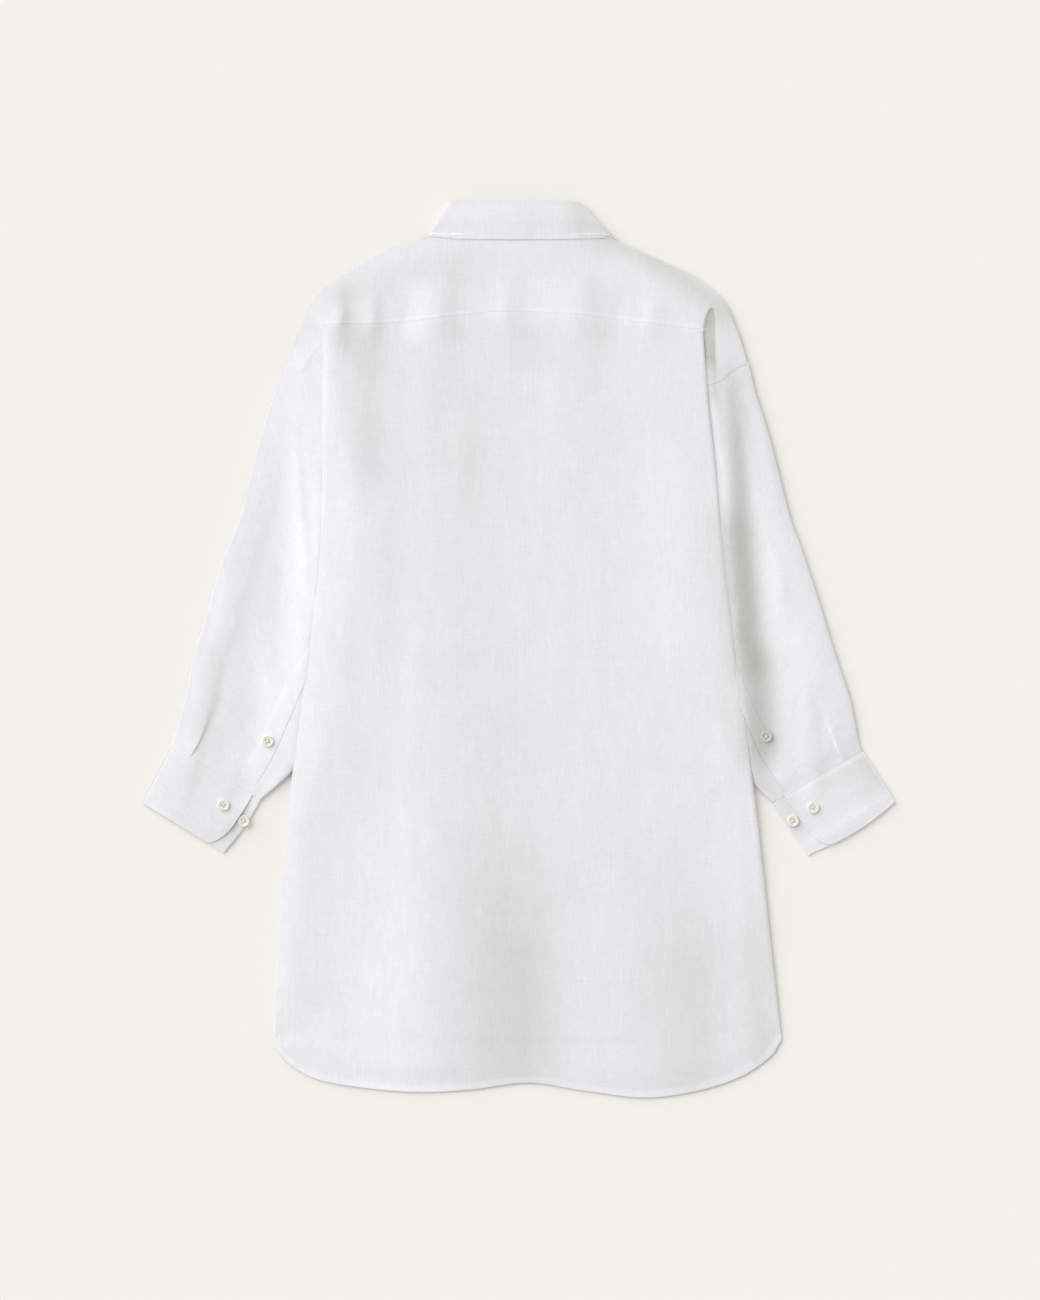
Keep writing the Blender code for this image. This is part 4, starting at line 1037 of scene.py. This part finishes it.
def make_sleeve(side, finish):
    """A flattened tube of cloth with soft folds, open at the armhole and at the cuff."""
    pleat_share, pleat_length, pleat_step = PLEAT[side]
    edge_height, edge_reach, inner_edge = SLEEVE_EDGE[side]
    outer_round, inner_round = EDGE_ROUND[side]
    sections = sleeve_sections(SLEEVE[side])
    rows, under_rows = [], []
    for x0, y0, x1, y1, curve_share in sections:
        width = math.hypot(x1 - x0, y1 - y0)
        pleat_at = width * pleat_share
        s = across_sleeve(width, pleat_at)
        u = s / width
        x = x0 + (x1 - x0) * u
        y = y0 + (y1 - y0) * u + curve_share * (armhole_bend(side, u) + 2.0)
        above = math.hypot(x0 - sections[-1][0], y0 - sections[-1][1])
        top = pleated(sleeve_top(side, x, y), s - pleat_at, above, pleat_length, pleat_step)
        under = sleeve_under(x, y)
        lowest = under + SLEEVE_LEAST
        outer = blend(edge_height, CUFF_EDGE, (30.0 - above) / 24.0)
        inner = inner_edge + under
        high = rise_from(outer, np.maximum(top, lowest), s, edge_reach, outer_round)
        high = rise_from(inner, np.maximum(high, lowest), width - s, 9.0, inner_round)
        from_seam = math.hypot(x0 - sections[0][0], y0 - sections[0][1])
        if from_seam == 0.0:    # the first section: how far it has to rise to the yoke's edge
            meet = (yoke_base(x, y) - high) * rising(outside_body(x, y), -4.0, 6.0)
        high = high + meet * (1.0 - smooth(from_seam / 30.0)) - SINK * (1.0 - rising(from_seam, 2.0, 6.0))
        edge = np.where(s < width - s, outer - outer_round[0], inner - inner_round[0])
        beside = np.minimum(s, width - s)
        low = under + GAP + (edge - CLOTH - under - GAP) * (1.0 - smooth(beside / (1.4 * edge)))
        lower = np.column_stack([x, y, low])[-2:0:-1]
        rows.append(np.vstack([np.column_stack([x, y, high]), lower]))
        under_rows.append(np.arange(len(rows[-1])) >= len(s))
    verts = np.vstack(rows)
    faces = grid_faces(len(rows), len(rows[0]), closed=True)
    name = f"sleeve_{SIDE_NAME[side]}_cloth"
    made = add_object(name, verts, faces, finish, painted_shading_of(verts, np.concatenate(under_rows)))
    face_out(made)
    add_wall(made, CLOTH)
    return (made,)


def make_band(side, finish, thread):
    name = "placket_" + SIDE_NAME[side]
    level = partial(band_height, side)
    left, right = [curve_through(edge, 3.0) for edge in BAND[side]]
    made = cloth_panel(name + "_cloth", np.vstack([left, right[::-1]]), level, finish,
                       (0.15, 0.5, 1.4, 2.2, 3.4), 3.0, BAND_CLOTH)
    rows = [offset_line(left, BAND_ROW), offset_line(right, -BAND_ROW)]
    lines = [on_face(row[1:-1], level) for row in rows]
    return made, stitches(name + "_stitches", lines, thread)


def cuff_point(cuff, a, b):
    """A place on a flattened cuff: a from outer to inner edge, b from seam to lower edge."""
    outer_top, outer_low, inner_low, inner_top = np.array(cuff["corners"])
    top = outer_top + (inner_top - outer_top) * a
    low = outer_low + (inner_low - outer_low) * a
    down = (low - top) / np.linalg.norm(low - top)
    inwards = (inner_top - outer_top) / np.linalg.norm(inner_top - outer_top)
    place = top + (low - top) * b + inwards * cuff["bow"] * a ** 4 * 4.0 * b * (1.0 - b)
    return place + down * cuff["belly"] * b * 4.0 * a * max(0.0, 0.93 - a)


def overlap_end(cuff, b):
    """Where the overlap stops at depth b: straight, then a rounded corner."""
    t = max(0.0, (b - CORNER_START) / (1.0 - CORNER_START))
    return cuff["overlap_end"] - OVERLAP_CORNER * (1.0 - math.sqrt(max(0.0, 1.0 - t * t)))


def cuff_swell(cuff, a, b):
    """The overlap's soft unevenness: fuller in its middle, pressed down at its edges."""
    middle = 0.3 * math.sin(math.pi * min(1.0, max(0.0, a))) * math.sin(math.pi * b) ** 0.5
    to_end = overlap_end(cuff, b) - a
    low_edge = 1.15 * rising(b, 0.8, 0.2)
    top_edge = 0.45 * falling(b, 0.07, 0.07)
    over_button = cuff["lift"] * math.exp(-((b - 0.42) / 0.3) ** 2)
    end_edge = (over_button - 0.4) * falling(to_end, 0.16, 0.16) * smooth(b / 0.16)
    return middle - low_edge - top_edge + end_edge * (1.0 - low_edge)


# Points across a cuff: shares of its overlap from its end, and places of the layer below.
OVERLAP_SHARES = np.concatenate([np.linspace(1.0, 0.93, 6), np.linspace(0.9, 0.12, 22)])
BELOW_PLACES = np.linspace(0.12, 0.94, 16)


def cuff_section(cuff, b):
    """The cuff's middle line at depth b, as (a, z): overlap, outer fold, below, inner fold."""
    end = overlap_end(cuff, b)
    line = [(end * s, CUFF_OVERLAP + cuff_swell(cuff, end * s, b)) for s in OVERLAP_SHARES]
    high = CUFF_OVERLAP + cuff_swell(cuff, 0.1, b) - CUFF_BOTTOM
    line += [(a, CUFF_BOTTOM + high * share) for a, share in cuff["fold"]]
    line += [(a, CUFF_BOTTOM) for a in BELOW_PLACES]
    mid = CUFF_UNDERLAP - 0.75 * rising(b, 0.8, 0.2)
    inner = 0.5 * (mid - CUFF_BOTTOM)
    for angle in np.linspace(0.0, math.pi, 7):
        line.append((0.985 + 0.011 * math.sin(angle), mid - inner * (1 + math.cos(angle))))
    return line + [(a, mid) for a in (0.96, 0.92, 0.88, 0.82, 0.76, 0.7)]


def make_cuff(side, finish, thread):
    """A buttoned cuff, flattened: one band whose rounded end lies over its square end."""
    name = "cuff_" + SIDE_NAME[side]
    cuff = CUFF[side]
    depths = np.concatenate([[0.0, 0.006, 0.03, 0.06], np.linspace(0.1, 0.9, 22), [0.94, 0.965, 0.985, 1.0]])
    verts = np.array([(*cuff_point(cuff, a, b), z) for b in depths for a, z in cuff_section(cuff, b)])
    across = len(verts) // len(depths)
    place = np.arange(len(verts)) % across
    fold_start = len(OVERLAP_SHARES)
    below_end = fold_start + len(cuff["fold"]) + len(BELOW_PLACES)
    painted_shading = painted_shading_of(verts, (place > fold_start + 1) & (place < below_end))
    made = add_object(name + "_cloth", verts, grid_faces(len(depths), across), finish, painted_shading)
    add_thick_wall(made, CUFF_CLOTH)
    face = CUFF_OVERLAP + CUFF_CLOTH / 2
    rows = [[(overlap_end(cuff, b) - 0.04, b) for b in np.linspace(0.05, 0.86, 20)]]
    for b, from_end in ((0.92, 0.05), (0.07, 0.03)):
        rows.append([(a, b) for a in np.linspace(overlap_end(cuff, b) - from_end, 0.05, 30)])
    lines = [np.array([(*cuff_point(cuff, a, b), face + cuff_swell(cuff, a, b)) for a, b in row])
             for row in rows]
    return made, stitches(name + "_stitches", lines, thread)


def collar_half(side, levels, depth_limit, inset):
    """Sections of half a collar piece, from its centre-front end up round the neck's side."""
    low, high = levels
    corner = COLLAR_SIDE[side]
    rows = [(*row, low, 0.0) for row in curve_through(COLLAR_BELOW + [corner], 7.0, 4)[:-1]]
    rows += [(*corner, low + (high - low) * share, bulge) for share, bulge in COLLAR_TURN]
    rows += [(*row, high, 0.0) for row in curve_through([corner] + COLLAR_ABOVE, 4.0, 4)[1:]]
    half = []
    for fx, fy, ex, ey, z, bulge in rows:
        reach = math.hypot(ex - fx, ey - fy)
        ux, uy = (ex - fx) / reach, (ey - fy) / reach
        depth = min(reach - inset, depth_limit)
        x, y = fx * (1.0 - inset / 60.0) - uy * bulge, fy - inset * 0.4 + ux * bulge
        half.append(np.array([(side * x, y, z), (side * (x + ux * depth), y + uy * depth, z)]))
    return half


def collar_rows(levels, depth_limit, inset):
    """Sections of a collar piece round the neck, each as (fold point, free edge point)."""
    left, right = [collar_half(side, levels, depth_limit, inset) for side in (-1, 1)]
    return right + left[-2::-1]


def leaf_relief(x, y, share):
    """Soft swell of the leaf over the neck, with the groove of its edge stitches."""
    fold = float(fold_rise(LEAF_FOLDS, np.array(x), np.array(y)))
    swell = 0.5 * math.sin(math.pi * min(1.0, share * 1.1)) ** 2
    arch = -2.6 * smooth((abs(x) - 34.0) / 62.0)
    groove = 0.16 * math.exp(-((1.0 - share) * LEAF_BACK - LEAF_ROWS[1]) ** 2 / 0.4)
    return fold + swell + arch - 0.5 * share - groove


def make_collar_piece(name, levels, depth_limit, inset, thickness, shares, finish):
    """A band round the flattened neck, from one centre-front end to the other."""
    leaf = name == "collar_leaf_cloth"
    rows = []
    for start, end in collar_rows(levels, depth_limit, inset):
        for s in shares:
            p = start + (end - start) * s
            if leaf:
                p[2] += leaf_relief(p[0], p[1], s) * (p[2] - levels[0]) / (levels[1] - levels[0])
            rows.append(p)
    rows = np.array(rows)
    on_yoke = yoke_height(rows[:, 0], rows[:, 1]) + 0.5 * thickness + 0.1
    lies = leaf & (rows[:, 2] > 0.6 * levels[1]) & (rows[:, 1] < 415.0)
    rows[:, 2] = np.where(lies, np.maximum(rows[:, 2], on_yoke), rows[:, 2])
    painted_shading = painted_shading_of(rows, rows[:, 2] < 0.5 * levels[1])
    made = add_object(name, rows, grid_faces(len(rows) // len(shares), len(shares)), finish, painted_shading)
    add_thick_wall(made, thickness)
    return made


def make_stand(finish):
    shares = np.linspace(0.0, 1.0, 7)
    made = make_collar_piece("collar_stand_cloth", STAND_LEVEL, STAND_DEPTH, STAND_INSET, STAND_CLOTH,
                             shares, finish)
    return (made,)


def make_leaf(finish, thread):
    """The collar's leaf, with two rows of stitches along its free edge where it lies on top."""
    shares = np.concatenate([[0.0, 0.012], np.linspace(0.08, 0.8, 9), np.linspace(0.84, 1.0, 9)])
    made = make_collar_piece("collar_leaf_cloth", LEAF_LEVEL, LEAF_DEPTH, 0.0, LEAF_CLOTH, shares, finish)
    on_top = [row for row in collar_rows(LEAF_LEVEL, LEAF_DEPTH, 0.0) if row[0][2] > LEAF_LEVEL[1] - 0.01]
    lines = []
    for inwards in LEAF_ROWS:
        line = []
        for start, end in on_top:
            share = 1.0 - inwards / np.linalg.norm((end - start)[:2])
            x, y, z = start + (end - start) * share
            line.append((x, y, z + leaf_relief(x, y, share) + LEAF_CLOTH / 2))
        lines.append(np.array(line))
    return made, stitches("collar_leaf_stitches", lines, thread)


# ---------------------------------------------------------------- buttons

def circle(radius, count, cx=0.0, cy=0.0):
    turns = [2 * math.pi * k / count for k in range(count)]
    return [(cx + radius * math.cos(t), cy + radius * math.sin(t)) for t in turns]


def button_points():
    """Flat points of a button's face, in rings round its centre and round its four holes."""
    r = BUTTON_ACROSS / 2
    points = circle(r, BUTTON_RIM)
    for share, _ in BUTTON_FACE[-2:0:-1]:
        points += circle(r * share, max(16, round(BUTTON_RIM * share)))
    for cx, cy in HOLES:
        points += circle(0.95, 12, cx, cy) + circle(0.8, 12, cx, cy) + circle(0.45, 12, cx, cy) + [(cx, cy)]
    return np.array(points + [(0.0, 0.0), (2.6, 0), (-2.6, 0), (0, 2.6), (0, -2.6)])


def button_face(x, y):
    """Height of a button's face above its foot: a raised rim round a dished centre with holes."""
    level = np.interp(np.hypot(x, y) / (BUTTON_ACROSS / 2), *zip(*BUTTON_FACE))
    hole = np.min([np.hypot(x - cx, y - cy) for cx, cy in HOLES], axis=0)
    return BUTTON_THICK * level - 0.9 * falling(hole, 0.95, 0.14)


def make_button(name, place, turn_deg, facing_down, shell, thread):
    """A four-hole button, sewn on with crossed thread."""
    points, faces = fill(button_points(), BUTTON_RIM)
    rim = points[:BUTTON_RIM]
    foot = np.column_stack([rim * BUTTON_FOOT[0], np.full(BUTTON_RIM, BUTTON_FOOT[1])])
    base = np.column_stack([rim * BUTTON_BASE, np.zeros(BUTTON_RIM)])
    verts = np.vstack([np.column_stack([points, button_face(*points.T)]), foot, base])
    first_foot = len(points)
    first_base = first_foot + BUTTON_RIM
    for start, end in ((0, first_foot), (first_foot, first_base)):
        for k in range(BUTTON_RIM):
            n = (k + 1) % BUTTON_RIM
            faces.append((start + n, start + k, end + k, end + n))
    faces.append(tuple(range(first_base + BUTTON_RIM - 1, first_base - 1, -1)))
    made = add_object(name + "_shell", verts, faces, shell)
    add_thread(made, thread)
    made.location = Vector(place) * MM
    made.rotation_euler = (math.pi if facing_down else 0.0, 0.0, math.radians(turn_deg))
    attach(made, "root")
    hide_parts(name)


def add_thread(made, thread):
    """Crossed strands of thread over a button's holes, in the button's own mesh."""
    made.data.materials.append(thread)
    shape = bmesh.new()
    shape.from_mesh(made.data)
    for start, end in ((HOLES[0], HOLES[2]), (HOLES[1], HOLES[3])):
        for aside in (-THREAD_RADIUS, THREAD_RADIUS):
            strand(shape, np.array(start), np.array(end), aside)
    shape.to_mesh(made.data)
    shape.free()


def strand(shape, start, end, aside):
    """One bent tube of thread between two holes."""
    ux, uy = (end - start) / np.linalg.norm(end - start)
    rings = []
    for share in (0.0, 0.12, 0.3, 0.5, 0.7, 0.88, 1.0):
        x, y = start + (end - start) * share
        z = BUTTON_THICK * BUTTON_FACE[0][1] - STRAND_SINK + STRAND_ARCH * math.sin(math.pi * share) ** 0.5
        ring = [(aside + wide, z + high) for wide, high in circle(THREAD_RADIUS, 6)]
        rings.append([shape.verts.new(Vector((x - uy * out, y + ux * out, up)) * MM) for out, up in ring])
    for ring, after in zip(rings, rings[1:]):
        for k in range(6):
            face = shape.faces.new((ring[k], ring[(k + 1) % 6], after[(k + 1) % 6], after[k]))
            face.material_index = 1
            face.smooth = True
    for ring in (rings[0][::-1], rings[-1]):
        shape.faces.new(ring).material_index = 1


def make_buttons(thread):
    shell = shell_finish("button_shell", 1.0)
    shaded = shell_finish("button_shell_shaded", 0.7)
    for name, x, y, lies_on, turn in SLEEVE_BUTTONS:
        if lies_on == "band":
            z = float(band_height(-1 if x < 0 else 1, np.array(x), np.array(y)))
        elif lies_on == "overlap":
            z = CUFF_OVERLAP + CUFF_CLOTH / 2 + 0.25
        else:
            z = CUFF_UNDERLAP + CUFF_CLOTH / 2
        look = shaded if name == "button_placket_right" else shell
        make_button(name, (x, y, z + 0.1), turn, False, look, thread)
    for k in range(FRONT_BUTTONS):
        place = (0.0, FRONT_BUTTON_TOP - k * FRONT_BUTTON_PITCH, FRONT_BUTTON_LEVEL)
        make_button(f"button_front_{k + 1}", place, 45 + 7 * k, True, shell, thread)


# ---------------------------------------------------------------- stage

VIEW_CENTRE = (0.0015, -0.0005)     # in metres, as is the view's height
VIEW_HEIGHT = 1.3
FLOOR_SIZE = 8.0
FLOOR_DROP = 0.0001
WINDOW_RISE = math.radians(27)
WINDOW_SPREAD = math.radians(64)
WINDOW_TOWARDS = (-0.74, 0.67)


def make_floor():
    bpy.ops.mesh.primitive_plane_add(size=FLOOR_SIZE, location=(0.0, 0.0, -FLOOR_DROP))
    floor = bpy.context.object
    floor.name = "floor"
    floor.data.materials.append(floor_finish())


def make_light():
    """A large soft light from the upper left, over a pale, slightly warm surrounding."""
    world = bpy.data.worlds.new("surrounding")
    world.use_nodes = True
    world.node_tree.nodes["Background"].inputs["Color"].default_value = (0.625, 0.628, 0.597, 1.0)
    world.node_tree.nodes["Background"].inputs["Strength"].default_value = 1.0
    bpy.context.scene.world = world
    data = bpy.data.lights.new("window", "SUN")
    data.energy = math.pi / (math.sin(WINDOW_RISE) * (1 + math.cos(WINDOW_SPREAD / 2)) / 2)
    data.color = (0.347, 0.344, 0.375)
    data.angle = WINDOW_SPREAD
    sun = bpy.data.objects.new("window", data)
    bpy.context.scene.collection.objects.link(sun)
    flat = [part * math.cos(WINDOW_RISE) for part in WINDOW_TOWARDS]
    towards = Vector((*flat, math.sin(WINDOW_RISE)))
    sun.rotation_euler = towards.to_track_quat("Z", "Y").to_euler()


def make_camera():
    """A long lens straight above the shirt."""
    data = bpy.data.cameras.new("camera")
    data.lens = 100.0
    data.sensor_width = 36.0
    data.clip_end = 50.0
    camera = bpy.data.objects.new("camera", data)
    bpy.context.scene.collection.objects.link(camera)
    camera.location = (*VIEW_CENTRE, VIEW_HEIGHT * data.lens / data.sensor_width)
    bpy.context.scene.camera = camera


def dress(made):
    """Ride on the body and stand for the CAD node."""
    piece, *rows = made
    for each in made:
        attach(each, "root")
    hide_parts(piece.name.removesuffix("_cloth"))


def build():
    thread = thread_finish()
    body = linen("linen_body", 0.0)
    sleeves = {-1: linen("linen_sleeve_left", -17.0), 1: linen("linen_sleeve_right", 17.0)}
    cuffs = {-1: linen("linen_cuff_left", -30.0), 1: linen("linen_cuff_right", 30.0)}
    dress(make_front(1, body, thread))
    dress(make_front(-1, body, thread))
    for side, area in ((-1, 0.13), (1, 0.12)):
        dress(make_sleeve(side, sleeves[side]))
    for side, area in ((-1, None), (1, 0.0033)):
        dress(make_band(side, sleeves[side], thread))
    dress(make_back(body, thread))
    dress(make_yoke(body, thread))
    dress(make_stand(body))
    dress(make_leaf(body, thread))
    for side in (-1, 1):
        dress(make_cuff(side, cuffs[side], thread))
    make_buttons(thread)


build()
make_floor()
make_light()
make_camera()
bpy.context.scene.view_settings.view_transform = "Standard"
